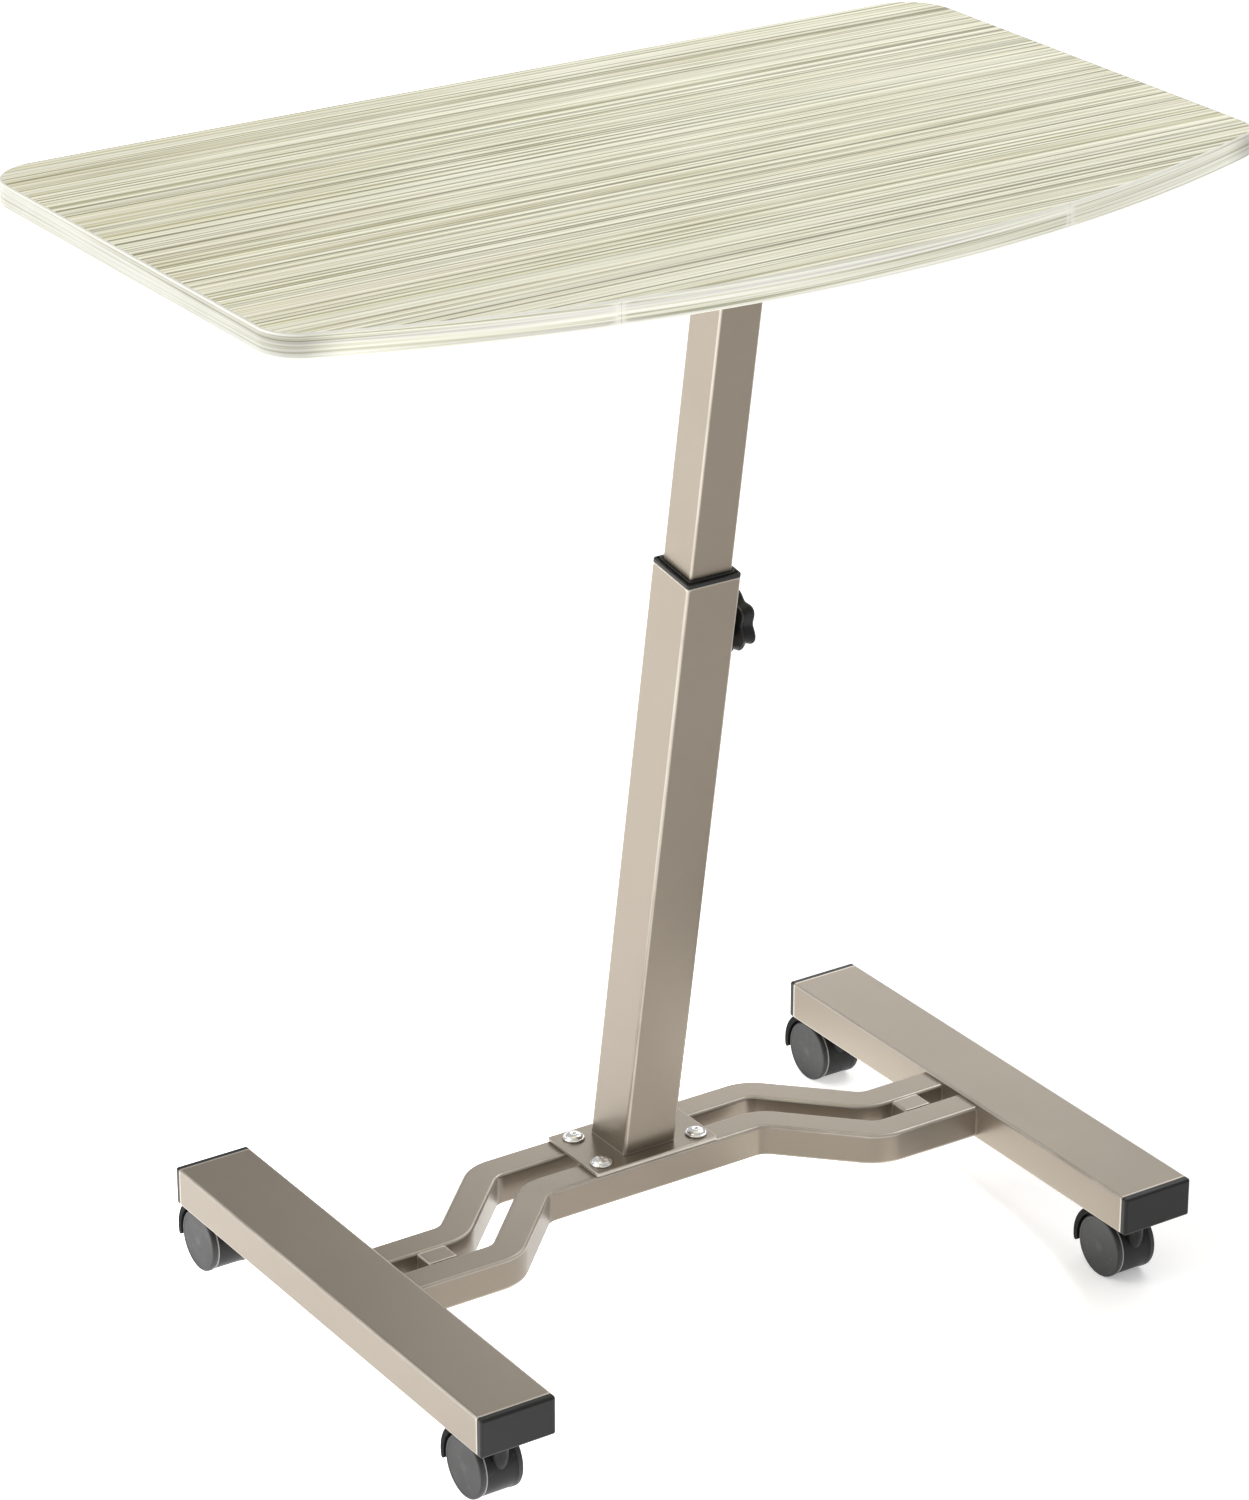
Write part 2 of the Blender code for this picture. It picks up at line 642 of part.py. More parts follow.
def mount_screw_places():
    return [
        Matrix.Translation((x * MOUNT_SCREW_X, MAST_HEAD.y + y * MOUNT_SCREW_Y, TOP_BOTTOM_Z))
        for x, y in CORNERS.values()
    ]


def make_top_mount():
    to_world = TOP_FRAME.matrix_world.inverted()
    outline = rounded_rectangle(MOUNT_SIZE_X, MOUNT_SIZE_Y, 0.010, 3)
    plate = prism([outline], MOUNT_BOTTOM_Z, MOUNT_BOTTOM_Z + MOUNT_THICKNESS)
    moved(plate, Matrix.Translation((0, MAST_HEAD.y, 0)))
    mount = add_part("top_mounting_plate", plate, "powder_coat", TOP_FRAME)
    mount.matrix_parent_inverse = to_world
    hole_radius = MOUNT_SCREW_RADIUS + 2 * GAP
    holes = [moved(cylinder(hole_radius, -0.006, 0.002, 12), place) for place in mount_screw_places()]
    boolean(mount, holes, "DIFFERENCE")
    for modifier in mount.modifiers:
        modifier.object.matrix_parent_inverse = to_world
    head_seat = -MOUNT_THICKNESS - 2 * GAP
    profile = [
        (0.0, MOUNT_SCREW_LENGTH - 0.002),
        (MOUNT_SCREW_RADIUS, MOUNT_SCREW_LENGTH - 0.005),
        (MOUNT_SCREW_RADIUS, head_seat),
        (0.0045, head_seat),
        (0.0036, head_seat - 0.002),
        (0.0, head_seat - 0.0026),
    ]
    for corner, place in zip(CORNERS, mount_screw_places()):
        screw = add_turned("top_screw_" + corner, profile, 12, "zinc_steel", TOP_FRAME)
        screw.matrix_parent_inverse = to_world
        screw.matrix_local = to_world @ place


def caster_y(end):
    """A stem's place along Y: the same distance in from either end of a leg."""
    return (LEG_BACK_Y + CAP_FACE - CASTER_INSET) if end > 0 else (LEG_FRONT_Y - CAP_FACE + CASTER_INSET)


def yz_prism(outline, half_width):
    """A (y, z) outline about the wheel's axle, extruded along X."""
    flat = prism([outline], -half_width, half_width)
    upright = Matrix(((0, 0, 1, 0), (1, 0, 0, 0), (0, 1, 0, 0), (0, 0, 0, 1)))
    return moved(flat, Matrix.Translation((0, CASTER_TRAIL, WHEEL_RADIUS)) @ upright)


def caster_body_mesh():
    """The web between the two wheels: a disc that is wider where it carries the fender."""
    carrier = FENDER_OUTER - 0.0006
    outline = arc((0, 0), carrier, FENDER_FROM + radians(2), FENDER_TO, 10)
    outline += arc((0, 0), WEB_RADIUS, FENDER_TO + radians(3), FENDER_FROM + 2 * pi - radians(1), 18)
    return yz_prism(outline, WEB_WIDTH / 2)


def make_casters():
    for corner, (side, end) in CORNERS.items():
        x, y = side * LEG_CENTRE_X, caster_y(end)
        frame = make_empty("caster_" + corner, Matrix.Translation((x, y, 0)))
        make_caster_housing(corner, frame)
        make_caster_stem(corner, frame)
        make_caster_wheels(corner, frame)


def make_caster_housing(corner, frame):
    body = add_part("caster_body_" + corner, smooth(caster_body_mesh(), 40), "black_plastic", frame)
    sector = arc((0, 0), FENDER_OUTER, FENDER_FROM, FENDER_TO, 11)
    sector += arc((0, 0), FENDER_INNER, FENDER_TO, FENDER_FROM, 11)
    fender = yz_prism(sector, WEB_WIDTH / 2 + GAP + WHEEL_WIDTH)
    boss = cylinder(STEM_BOSS_RADIUS, STEM_BOTTOM - 0.001, STEM_BOSS_TOP, 20)
    nose = cylinder(STEM_BOSS_RADIUS * 0.45, STEM_BOTTOM - 0.006, STEM_BOTTOM - 0.0005, 20, STEM_BOSS_RADIUS)
    boolean(body, [fender, boss, nose], "UNION")
    stem_bore = cylinder(STEM_RADIUS + GAP, STEM_BOTTOM - GAP, STEM_BOSS_TOP + 0.004, 16)
    across = Matrix.Translation((0, CASTER_TRAIL, WHEEL_RADIUS)) @ Matrix.Rotation(pi / 2, 4, "Y")
    axle_bore = moved(cylinder(AXLE_RADIUS + GAP, -0.02, 0.02, 16), across)
    boolean(body, [stem_bore, axle_bore], "DIFFERENCE")
    axle = moved(cylinder(AXLE_RADIUS, -AXLE_HALF, AXLE_HALF, 16), across)
    add_part("caster_axle_" + corner, smooth(axle), "zinc_steel", frame)


def make_caster_stem(corner, frame):
    collar_top = LEG_BOTTOM_Z - GAP
    profile = [
        (0.0, STEM_TOP),
        (STEM_RADIUS, STEM_TOP),
        (STEM_RADIUS, collar_top),
        (STEM_COLLAR_RADIUS, collar_top),
        (STEM_COLLAR_RADIUS, STEM_BOSS_TOP + GAP),
        (STEM_RADIUS, STEM_BOSS_TOP + GAP),
        (STEM_RADIUS, STEM_BOTTOM),
        (0.0, STEM_BOTTOM),
    ]
    add_turned("caster_stem_" + corner, profile, 16, "zinc_steel", frame)
    nut_low = LEG_BOTTOM_Z + WALL + GAP
    nut = cylinder(NUT_FLATS / sqrt(3), nut_low, nut_low + NUT_HEIGHT, 6)
    part = add_part("caster_nut_" + corner, nut, "zinc_steel", frame)
    hole = cylinder(STEM_RADIUS + GAP, nut_low - 0.002, nut_low + NUT_HEIGHT + 0.002, 16)
    boolean(part, [hole], "DIFFERENCE")


def make_caster_wheels(corner, frame):
    """Each wheel's profile has its inner face at height 0 and its closed outer face at the top."""
    bore_depth = AXLE_HALF - WEB_WIDTH / 2
    profile = [
        (0.0, WHEEL_WIDTH),
        (WHEEL_RADIUS - WHEEL_SHOULDER, WHEEL_WIDTH),
        (WHEEL_RADIUS - WHEEL_SHOULDER * 0.3, WHEEL_WIDTH - WHEEL_SHOULDER * 0.3),
        (WHEEL_RADIUS, WHEEL_WIDTH - WHEEL_SHOULDER),
        (WHEEL_RADIUS, 0.001),
        (WHEEL_RADIUS - 0.001, 0.0),
        (AXLE_RADIUS + GAP, 0.0),
        (AXLE_RADIUS + GAP, bore_depth),
        (0.0, bore_depth),
    ]
    for name, sign in (("left", -1), ("right", 1)):
        place = Matrix.Translation((sign * (WEB_WIDTH / 2 + GAP), CASTER_TRAIL, WHEEL_RADIUS))
        place = place @ Matrix.Rotation(sign * pi / 2, 4, "Y")
        wheel = add_turned(
            "wheel_" + corner + "_" + name, profile, 24, "wheel_plastic", frame, place
        )
        wheel.modifiers["turn"].use_smooth_shade = True


clear_scene()
PARTS = make_collection("overbed_table", False)
CUTTERS = make_collection("cutters", True)
MAST_MATRIX = Matrix.Translation(MAST_FOOT) @ Matrix.Rotation(MAST_LEAN, 4, "X")
BASE_FRAME = make_empty("base_frame", Matrix.Identity(4))
MAST_FRAME = make_empty("mast_axis", MAST_MATRIX)
SLIDE_FRAME = make_empty("height_slide", MAST_MATRIX)
TOP_FRAME = make_empty("top_on_mast", Matrix.Translation(MAST_HEAD))
bpy.context.view_layer.update()
make_legs()
make_end_caps()
make_crossbars()
make_spacers()
make_base_plate()
make_base_bolts()
make_mast()
make_collar()
make_inner_guide()
make_clamp()
make_tabletop()
make_top_mount()
make_casters()
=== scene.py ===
"""Visual model of an overbed table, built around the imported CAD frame.

Lengths are in metres in the row frame: +X along the crossbars, -Y towards the user, +Z up.
"""

import json
from math import atan2, cos, pi, radians, sin, sqrt

import bmesh
import bpy
from mathutils import Matrix, Vector


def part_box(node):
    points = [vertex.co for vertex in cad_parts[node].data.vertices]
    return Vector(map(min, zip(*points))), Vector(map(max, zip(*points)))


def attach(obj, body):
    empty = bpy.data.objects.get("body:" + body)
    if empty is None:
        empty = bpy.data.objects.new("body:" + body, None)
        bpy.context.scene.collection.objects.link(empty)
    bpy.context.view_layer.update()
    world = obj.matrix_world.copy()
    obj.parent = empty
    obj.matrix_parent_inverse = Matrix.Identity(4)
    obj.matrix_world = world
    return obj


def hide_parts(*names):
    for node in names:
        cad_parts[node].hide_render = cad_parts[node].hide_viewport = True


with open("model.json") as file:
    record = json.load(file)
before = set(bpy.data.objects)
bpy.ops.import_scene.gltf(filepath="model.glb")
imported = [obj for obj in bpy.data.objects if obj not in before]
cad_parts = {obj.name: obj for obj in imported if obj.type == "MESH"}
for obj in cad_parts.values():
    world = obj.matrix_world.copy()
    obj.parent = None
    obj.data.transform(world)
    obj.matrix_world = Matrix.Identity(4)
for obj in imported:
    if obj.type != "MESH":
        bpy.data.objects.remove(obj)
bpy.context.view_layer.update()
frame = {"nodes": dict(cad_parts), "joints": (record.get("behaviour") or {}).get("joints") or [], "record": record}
NODES = frame["nodes"]
JOINTS = {joint["name"]: joint for joint in frame["joints"]}
CORNERS = {"fl": (-1, -1), "fr": (1, -1), "bl": (-1, 1), "br": (1, 1)}
SIDES = {"left": -1, "right": 1}

# Sizes that a node's box doesn't give.
WALL = 0.0015
LEG_CORNER = 0.0018
BAR_CORNER = 0.0022
SPACER_CORNER = 0.002
BAR_BEND_RADIUS = 0.026
BAR_STEP_START_X = 0.1731
OUTER_CORNER = 0.0022
INNER_CORNER = 0.0018
OUTER_LENGTH = 0.4875
CLAMP_ALONG = 0.437
COLLAR_SLEEVE = 0.030
TOP_FRONT_RADIUS = 1.036
TOP_BACK_CORNER = 0.038
TOP_FRONT_CORNER = 0.030
BAND_THICKNESS = 0.002
BAND_ARRIS = 0.0014
BAND_SEAM_X = 0.18
EDGE_SUPPORT = 0.0012
BOLT_HEAD_SCALE = 1.12
INNER_TUBE_FOOT = 0.372
KNOB_RADIUS = 0.0232
KNOB_LOBES = 6
KNOB_LOBE_PHASE = radians(45)
KNOB_LOBE_DEPTH = 0.0048
WEB_HALF = 0.01275
BOSS_RADIUS = 0.0068
BOSS_BELOW_STEM_TOP = 0.0172
STEM_BORE_RADIUS = 0.0043
AXLE_BORE_RADIUS = 0.0033
HOOD_GAP = 0.0020
HOOD_FROM = radians(-14)
HOOD_TO = radians(118)

# Finishes. The band's ends are darker, to even out the strong light from the left.
LAMINATE_GAIN = (1.03, 1.03, 0.975)
LAMINATE_CONTRAST = 1.45
BAND_GAIN = 0.94
BAND_GAIN_ENDS = 0.44
BAND_ENDS_FROM_X, BAND_ENDS_TO_X = 0.345, 0.388
COAT_DARK = (0.228, 0.192, 0.150)
COAT_LIGHT = (0.234, 0.198, 0.155)
COAT_FLAKE = (0.34, 0.30, 0.24)
COAT_EDGE_HIGHLIGHT = (0.72, 0.67, 0.60)

# Light. The floor glows a little, and more towards the left, far off and in a patch by the right leg.
WORLD_STRENGTH = 0.60
FLOOR_HALF_SIZE = 12.0
FLOOR_GLOW = 0.30
FLOOR_GLOW_LEFT = 1.12
LEFT_DIRECTION = (-0.90, 0.45)
LEFT_FROM, LEFT_TO = -0.38, 0.42
FLOOR_GLOW_FAR = 0.30
FAR_FROM, FAR_TO = 1.2, 3.5
FLOOR_GLOW_PATCH = 1.4
PATCH_CENTRE = (0.19, 0.03)
PATCH_REACH = (0.07, 0.25)
PANELS = (
    # name, place, target, width, height, power
    ("key_left", (-2.6, 1.2, 2.2), (-0.6, 0.4, 0.0), 2.4, 1.6, 48),
    ("left_panel", (-3.0, -0.6, 1.2), (0.0, 0.0, 0.4), 1.8, 2.0, 12),
    ("back_panel", (1.25, 1.45, 0.95), (0.28, 0.0, 0.1), 1.0, 0.8, 3.9),
    ("right_panel", (2.2, 0.4, 2.5), (0.3, 0.0, 0.6), 1.6, 1.6, 25),
)

# The camera.
CAMERA_PLACE = Vector((-1.8363, -2.7392, 1.8895))
CAMERA_TARGET = Vector((-0.06435, -0.0500, 0.4495))
CAMERA_LENS = 122.1
CAMERA_SENSOR = 36.0


# Mesh building.


def arc(centre, radius, start, end, steps):
    angles = [start + (end - start) * i / steps for i in range(steps + 1)]
    return [(centre[0] + radius * cos(a), centre[1] + radius * sin(a)) for a in angles]


def rounded_rectangle(size_x, size_y, radius, steps=6):
    """A ring with two points on each flat beside every corner, which keep the painted edge highlights at the
    corners.
    """
    points = []
    for index, (side_x, side_y) in enumerate(((1, 1), (-1, 1), (-1, -1), (1, -1))):
        centre = (side_x * (size_x / 2 - radius), side_y * (size_y / 2 - radius))
        start, end = index * pi / 2, (index + 1) * pi / 2
        corner = arc(centre, radius, start, end, steps)
        flats = (size_y, size_x) if index % 2 == 0 else (size_x, size_y)
        before, after = (min(EDGE_SUPPORT, flat / 8 - radius / 4) for flat in flats)
        (first_x, first_y), (last_x, last_y) = corner[0], corner[-1]
        points += [(first_x + k * before * sin(start), first_y - k * before * cos(start)) for k in (2, 1)]
        points += corner
        points += [(last_x - k * after * sin(end), last_y + k * after * cos(end)) for k in (1, 2)]
    return points


def circle(radius, steps=64):
    return [(radius * cos(2 * pi * i / steps), radius * sin(2 * pi * i / steps)) for i in range(steps)]


def skin(rings, closed=False, place=Matrix.Identity(4)):
    """A closed mesh through rings of 3-D points: a loop of rings, or a stack with a face at either end."""
    shape = bmesh.new()
    loops = [[shape.verts.new(place @ Vector(point)) for point in ring] for ring in rings]
    pairs = list(zip(loops, loops[1:]))
    if closed:
        pairs.append((loops[-1], loops[0]))
    else:
        shape.faces.new(loops[0])
        shape.faces.new(loops[-1])
    for low, high in pairs:
        for i in range(len(low)):
            j = (i + 1) % len(low)
            shape.faces.new((low[i], low[j], high[j], high[i]))
    bmesh.ops.recalc_face_normals(shape, faces=shape.faces)
    return shape


def lifted(outline, height):
    return [(x, y, height) for x, y in outline]


def turned(profile, place=Matrix.Identity(4), steps=64, closed=False):
    """A turned solid about Z through (radius, height) points."""
    return skin([lifted(circle(radius, steps), height) for radius, height in profile], closed, place)


def rounded_edge(radius, steps=4):
    """(inset, rise) pairs of a quarter circle, from the side up to the face."""
    angles = [pi / 2 * i / steps for i in range(steps + 1)]
    return [(radius * (1 - cos(a)), radius * sin(a)) for a in angles]


def to_mesh(shape, name):
    mesh = bpy.data.meshes.new(name)
    shape.to_mesh(mesh)
    shape.free()
    return mesh


def add_piece(name, shape, finish, body, nodes, crease=38, extra=()):
    """A visible piece: it rides on a CAD body, stands for CAD nodes and has smooth, face-weighted normals."""
    mesh = to_mesh(shape, name) if isinstance(shape, bmesh.types.BMesh) else shape
    mesh.name = name
    for item in (finish, *extra):
        mesh.materials.append(MATERIALS[item])
    mesh.shade_smooth()
    mesh.set_sharp_from_angle(angle=radians(crease))
    piece = bpy.data.objects.new(name, mesh)
    bpy.context.scene.collection.objects.link(piece)
    weighted = piece.modifiers.new("weighted_normals", "WEIGHTED_NORMAL")
    weighted.keep_sharp = True
    weighted.weight = 90
    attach(piece, body)
    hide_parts(*nodes)
    return piece


def joined(name, base, others, cutters=()):
    """The base solid with the others joined to it and the cutters cut away."""
    holder = bpy.data.objects.new(name, to_mesh(base, name))
    bpy.context.scene.collection.objects.link(holder)
    helpers = []
    for operation, shapes in (("UNION", others), ("DIFFERENCE", cutters)):
        for shape in shapes:
            helper = bpy.data.objects.new("helper", to_mesh(shape, "helper"))
            bpy.context.scene.collection.objects.link(helper)
            modifier = holder.modifiers.new(operation, "BOOLEAN")
            modifier.operation = operation
            modifier.solver = "EXACT"
            modifier.object = helper
            helpers.append(helper)
    bpy.context.view_layer.update()
    evaluated = holder.evaluated_get(bpy.context.evaluated_depsgraph_get())
    mesh = bpy.data.meshes.new_from_object(evaluated)
    for item in (holder, *helpers):
        bpy.data.objects.remove(item, do_unlink=True)
    shape = bmesh.new()
    shape.from_mesh(mesh)
    bpy.data.meshes.remove(mesh)
    bmesh.ops.remove_doubles(shape, verts=shape.verts, dist=2e-6)
    bmesh.ops.dissolve_degenerate(shape, dist=2e-6, edges=shape.edges)
    return shape


# Procedural materials.


class Finish:
    """A material under construction: short calls that add linked nodes."""

    def __init__(self, name):
        self.material = bpy.data.materials.new(name)
        self.material.use_nodes = True
        self.tree = self.material.node_tree
        self.shader = self.tree.nodes["Principled BSDF"]
        self.place = self.node("ShaderNodeTexCoord").outputs["Object"]

    def node(self, kind, **settings):
        node = self.tree.nodes.new(kind)
        for key, value in settings.items():
            setattr(node, key, value)
        return node

    def feed(self, socket, value):
        if isinstance(value, bpy.types.NodeSocket):
            self.tree.links.new(value, socket)
        elif isinstance(value, (tuple, list)) and len(socket.default_value) == 4:
            socket.default_value = (*value, 1.0)
        else:
            socket.default_value = value

    def scaled(self, scale, shift=(0, 0, 0)):
        mapping = self.node("ShaderNodeMapping")
        self.feed(mapping.inputs["Vector"], self.place)
        mapping.inputs["Scale"].default_value = scale
        mapping.inputs["Location"].default_value = shift
        return mapping.outputs["Vector"]

    def noise(self, scale, detail=2.0, roughness=0.5, shift=(0, 0, 0), vector=None):
        """Noise about 0.5; a scale of three numbers stretches it along the axes."""
        texture = self.node("ShaderNodeTexNoise")
        if vector is None:
            stretched = scale if isinstance(scale, tuple) else (scale, scale, scale)
            vector = self.scaled(stretched, shift)
        self.feed(texture.inputs["Vector"], vector)
        texture.inputs["Scale"].default_value = 1.0
        texture.inputs["Detail"].default_value = detail
        texture.inputs["Roughness"].default_value = roughness
        return texture.outputs["Fac"]

    def math(self, operation, a, b=0.0, c=0.0, clamp=False):
        node = self.node("ShaderNodeMath", operation=operation, use_clamp=clamp)
        for socket, value in zip(node.inputs, (a, b, c)):
            self.feed(socket, value)
        return node.outputs[0]

    def ranged(self, value, low, high, to_low=0.0, to_high=1.0):
        node = self.node("ShaderNodeMapRange", interpolation_type="SMOOTHSTEP")
        for key, item in (("Value", value), ("From Min", low), ("From Max", high)):
            self.feed(node.inputs[key], item)
        self.feed(node.inputs["To Min"], to_low)
        self.feed(node.inputs["To Max"], to_high)
        return node.outputs[0]

    def ramp(self, value, stops):
        node = self.node("ShaderNodeValToRGB")
        elements = node.color_ramp.elements
        while len(elements) < len(stops):
            elements.new(0.5)
        for element, (position, colour) in zip(elements, stops):
            element.position = position
            element.color = (*colour, 1.0)
        self.feed(node.inputs["Fac"], value)
        return node.outputs["Color"]

    def mix(self, amount, a, b, blend="MIX"):
        node = self.node("ShaderNodeMix", data_type="RGBA", blend_type=blend)
        colours = [socket for socket in node.inputs if socket.type == "RGBA"]
        self.feed(node.inputs["Factor"], amount)
        self.feed(colours[0], a)
        self.feed(colours[1], b)
        return [socket for socket in node.outputs if socket.type == "RGBA"][0]

    def edges(self, low, high):
        """1 on convex edges, 0 on flat faces."""
        return self.ranged(self.node("ShaderNodeNewGeometry").outputs["Pointiness"], low, high)

    def axes(self):
        node = self.node("ShaderNodeSeparateXYZ")
        self.feed(node.inputs[0], self.place)
        return node.outputs

    def bump(self, height, distance, strength):
        node = self.node("ShaderNodeBump")
        self.feed(node.inputs["Height"], height)
        node.inputs["Distance"].default_value = distance
        node.inputs["Strength"].default_value = strength
        self.tree.links.new(node.outputs["Normal"], self.shader.inputs["Normal"])

    def set(self, **values):
        for key, value in values.items():
            self.feed(self.shader.inputs[key.replace("_", " ")], value)
        return self.material


def srgb(red, green, blue):
    """Linear colour of an sRGB colour in 0 to 255."""
    return tuple(((c / 255 + 0.055) / 1.055) ** 2.4 for c in (red, green, blue))


LAMINATE_STOPS = (
    (0.00, srgb(140, 136, 108)),
    (0.10, srgb(166, 162, 132)),
    (0.25, srgb(191, 187, 159)),
    (0.38, srgb(205, 201, 177)),
    (0.50, srgb(215, 212, 190)),
    (0.62, srgb(222, 220, 200)),
    (0.78, srgb(230, 228, 208)),
    (1.00, srgb(242, 240, 224)),
)


def laminate():
    """Straight grain along X: streak noises, and waves with a wandering phase."""
    finish = Finish("laminate")
    streaks = (
        # scale along, scale across, weight, shift
        (0.30, 520.0, 0.9, (3.0, 11.0, 0.0)),
        (4.0, 520.0, 0.8, (1.0, 23.0, 0.0)),
        (11.0, 800.0, 0.7, (5.0, 31.0, 0.0)),
        (2.2, 16.0, 0.03, (4.0, 17.0, 0.0)),
    )
    total = 0.0
    for along, across, weight, shift in streaks:
        value = finish.noise((along, across, 1.0), 1.0, 0.45, shift)
        total = finish.math("MULTIPLY_ADD", finish.math("SUBTRACT", value, 0.5), weight, total)
    y = finish.axes()[1]
    waves = (
        # pitch, weight, scales along and across of the wander, shift
        (0.0056, 0.24, (0.35, 50.0), (3.0, 7.0, 0.0)),
        (0.0078, 0.21, (0.6, 42.0), (9.0, 1.0, 0.0)),
        (0.0112, 0.12, (0.25, 33.0), (2.0, 4.0, 0.0)),
    )
    for pitch, weight, (along, across), shift in waves:
        wander = finish.noise((along, across, 1.0), 1.0, 0.5, shift)
        phase = finish.math("MULTIPLY_ADD", wander, 26.0, finish.math("MULTIPLY", y, 2 * pi / pitch))
        total = finish.math("MULTIPLY_ADD", finish.math("SINE", phase), weight, total)
    value = finish.math("MULTIPLY_ADD", total, LAMINATE_CONTRAST, 0.5, clamp=True)
    colour = finish.ramp(value, LAMINATE_STOPS)
    warm = finish.ranged(finish.noise((1.6, 290.0, 1.0), 1.0, 0.5, (2.0, 41.0, 0.0)), 0.56, 0.70, 0.0, 0.50)
    cool = finish.ranged(finish.noise((1.9, 260.0, 1.0), 1.0, 0.5, (6.0, 53.0, 0.0)), 0.56, 0.70, 0.0, 0.50)
    olive = finish.ranged(finish.noise((1.1, 340.0, 1.0), 1.0, 0.5, (8.0, 67.0, 0.0)), 0.57, 0.68, 0.0, 0.55)
    colour = finish.mix(warm, colour, srgb(218, 206, 190))
    colour = finish.mix(cool, colour, srgb(221, 222, 212))
    colour = finish.mix(olive, colour, srgb(196, 190, 144))
    line = finish.noise((1.4, 1000.0, 1.0), 0.0, 0.5, (12.0, 3.0, 0.0))
    dark_line = finish.ranged(line, 0.66, 0.74, 0.0, 0.55)
    light_line = finish.ranged(line, 0.34, 0.27, 0.0, 0.60)
    colour = finish.mix(dark_line, colour, srgb(158, 152, 122))
    colour = finish.mix(light_line, colour, srgb(243, 241, 226))
    smudges = finish.noise(9.0, 3.0, 0.6, (1.0, 1.0, 1.0))
    finish.bump(finish.math("MULTIPLY_ADD", line, 0.4, value), 0.00006, 0.35)
    return finish.set(
        Base_Color=finish.mix(1.0, colour, LAMINATE_GAIN, "MULTIPLY"),
        Roughness=finish.ranged(smudges, 0.3, 0.7, 0.40, 0.52),
        Specular_IOR_Level=0.4,
    )


def edge_band():
    """Fine stripes that run round the edge, with the pattern shifted between the two seams."""
    finish = Finish("edge_band")
    x, y, z = finish.axes()
    middle = finish.math("LESS_THAN", finish.math("ABSOLUTE", x), BAND_SEAM_X)
    front = finish.math("LESS_THAN", y, -0.12)
    shift = finish.math("MULTIPLY", finish.math("MULTIPLY", middle, front), 0.35)
    combined = finish.node("ShaderNodeCombineXYZ")
    finish.feed(combined.inputs[0], finish.math("MULTIPLY", x, 4.0))
    finish.feed(combined.inputs[1], finish.math("MULTIPLY_ADD", y, 4.0, shift))
    finish.feed(combined.inputs[2], finish.math("MULTIPLY", z, 950.0))
    fine = finish.noise(1.0, 1.0, 0.5, vector=combined.outputs[0])
    broad_vector = finish.node("ShaderNodeVectorMath", operation="MULTIPLY")
    finish.feed(broad_vector.inputs[0], combined.outputs[0])
    broad_vector.inputs[1].default_value = (0.6, 0.6, 0.36)
    broad = finish.noise(1.0, 0.0, 0.5, vector=broad_vector.outputs[0])
    value = finish.math("MULTIPLY_ADD", finish.math("SUBTRACT", fine, 0.5), 2.3, 0.5)
    value = finish.math("MULTIPLY_ADD", finish.math("SUBTRACT", broad, 0.5), 0.6, value, clamp=True)
    stops = (
        (0.05, srgb(168, 167, 143)),
        (0.25, srgb(205, 204, 182)),
        (0.42, srgb(224, 223, 202)),
        (0.60, srgb(236, 235, 218)),
        (0.85, srgb(249, 249, 238)),
    )
    colour = finish.ramp(value, stops)
    lilac = finish.noise((3.0, 3.0, 300.0), 0.0, 0.5, (4.0, 4.0, 9.0))
    colour = finish.mix(finish.ranged(lilac, 0.58, 0.68, 0.0, 0.5), colour, srgb(228, 224, 222))
    # Painted shade: both ends of the band are darkened by the end gain, against the strong light from the left.
    end = finish.ranged(finish.math("ABSOLUTE", x), BAND_ENDS_FROM_X, BAND_ENDS_TO_X)
    # Painted shade: the lowest millimetre of the band, on its lower rounded edge, is darkened.
    low_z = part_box("tabletop_edge_band")[0].z
    low_edge_shade = finish.ranged(z, low_z + 0.0010, low_z + 0.0004, 0.0, 0.62)
    colour = finish.mix(low_edge_shade, colour, srgb(150, 149, 132))
    gain = finish.mix(end, (BAND_GAIN,) * 3, (BAND_GAIN_ENDS,) * 3)
    colour = finish.mix(1.0, colour, gain, "MULTIPLY")
    # Painted highlight: the band's convex edges are lightened to near white, after the gain.
    arris_highlight = finish.ranged(finish.edges(0.508, 0.53), 0, 1, 0.0, 0.6)
    finish.bump(fine, 0.00004, 0.3)
    return finish.set(
        Base_Color=finish.mix(arris_highlight, colour, srgb(238, 237, 226)),
        Roughness=finish.ranged(finish.noise(30.0, 2.0), 0.3, 0.7, 0.36, 0.48),
        Specular_IOR_Level=0.4,
    )


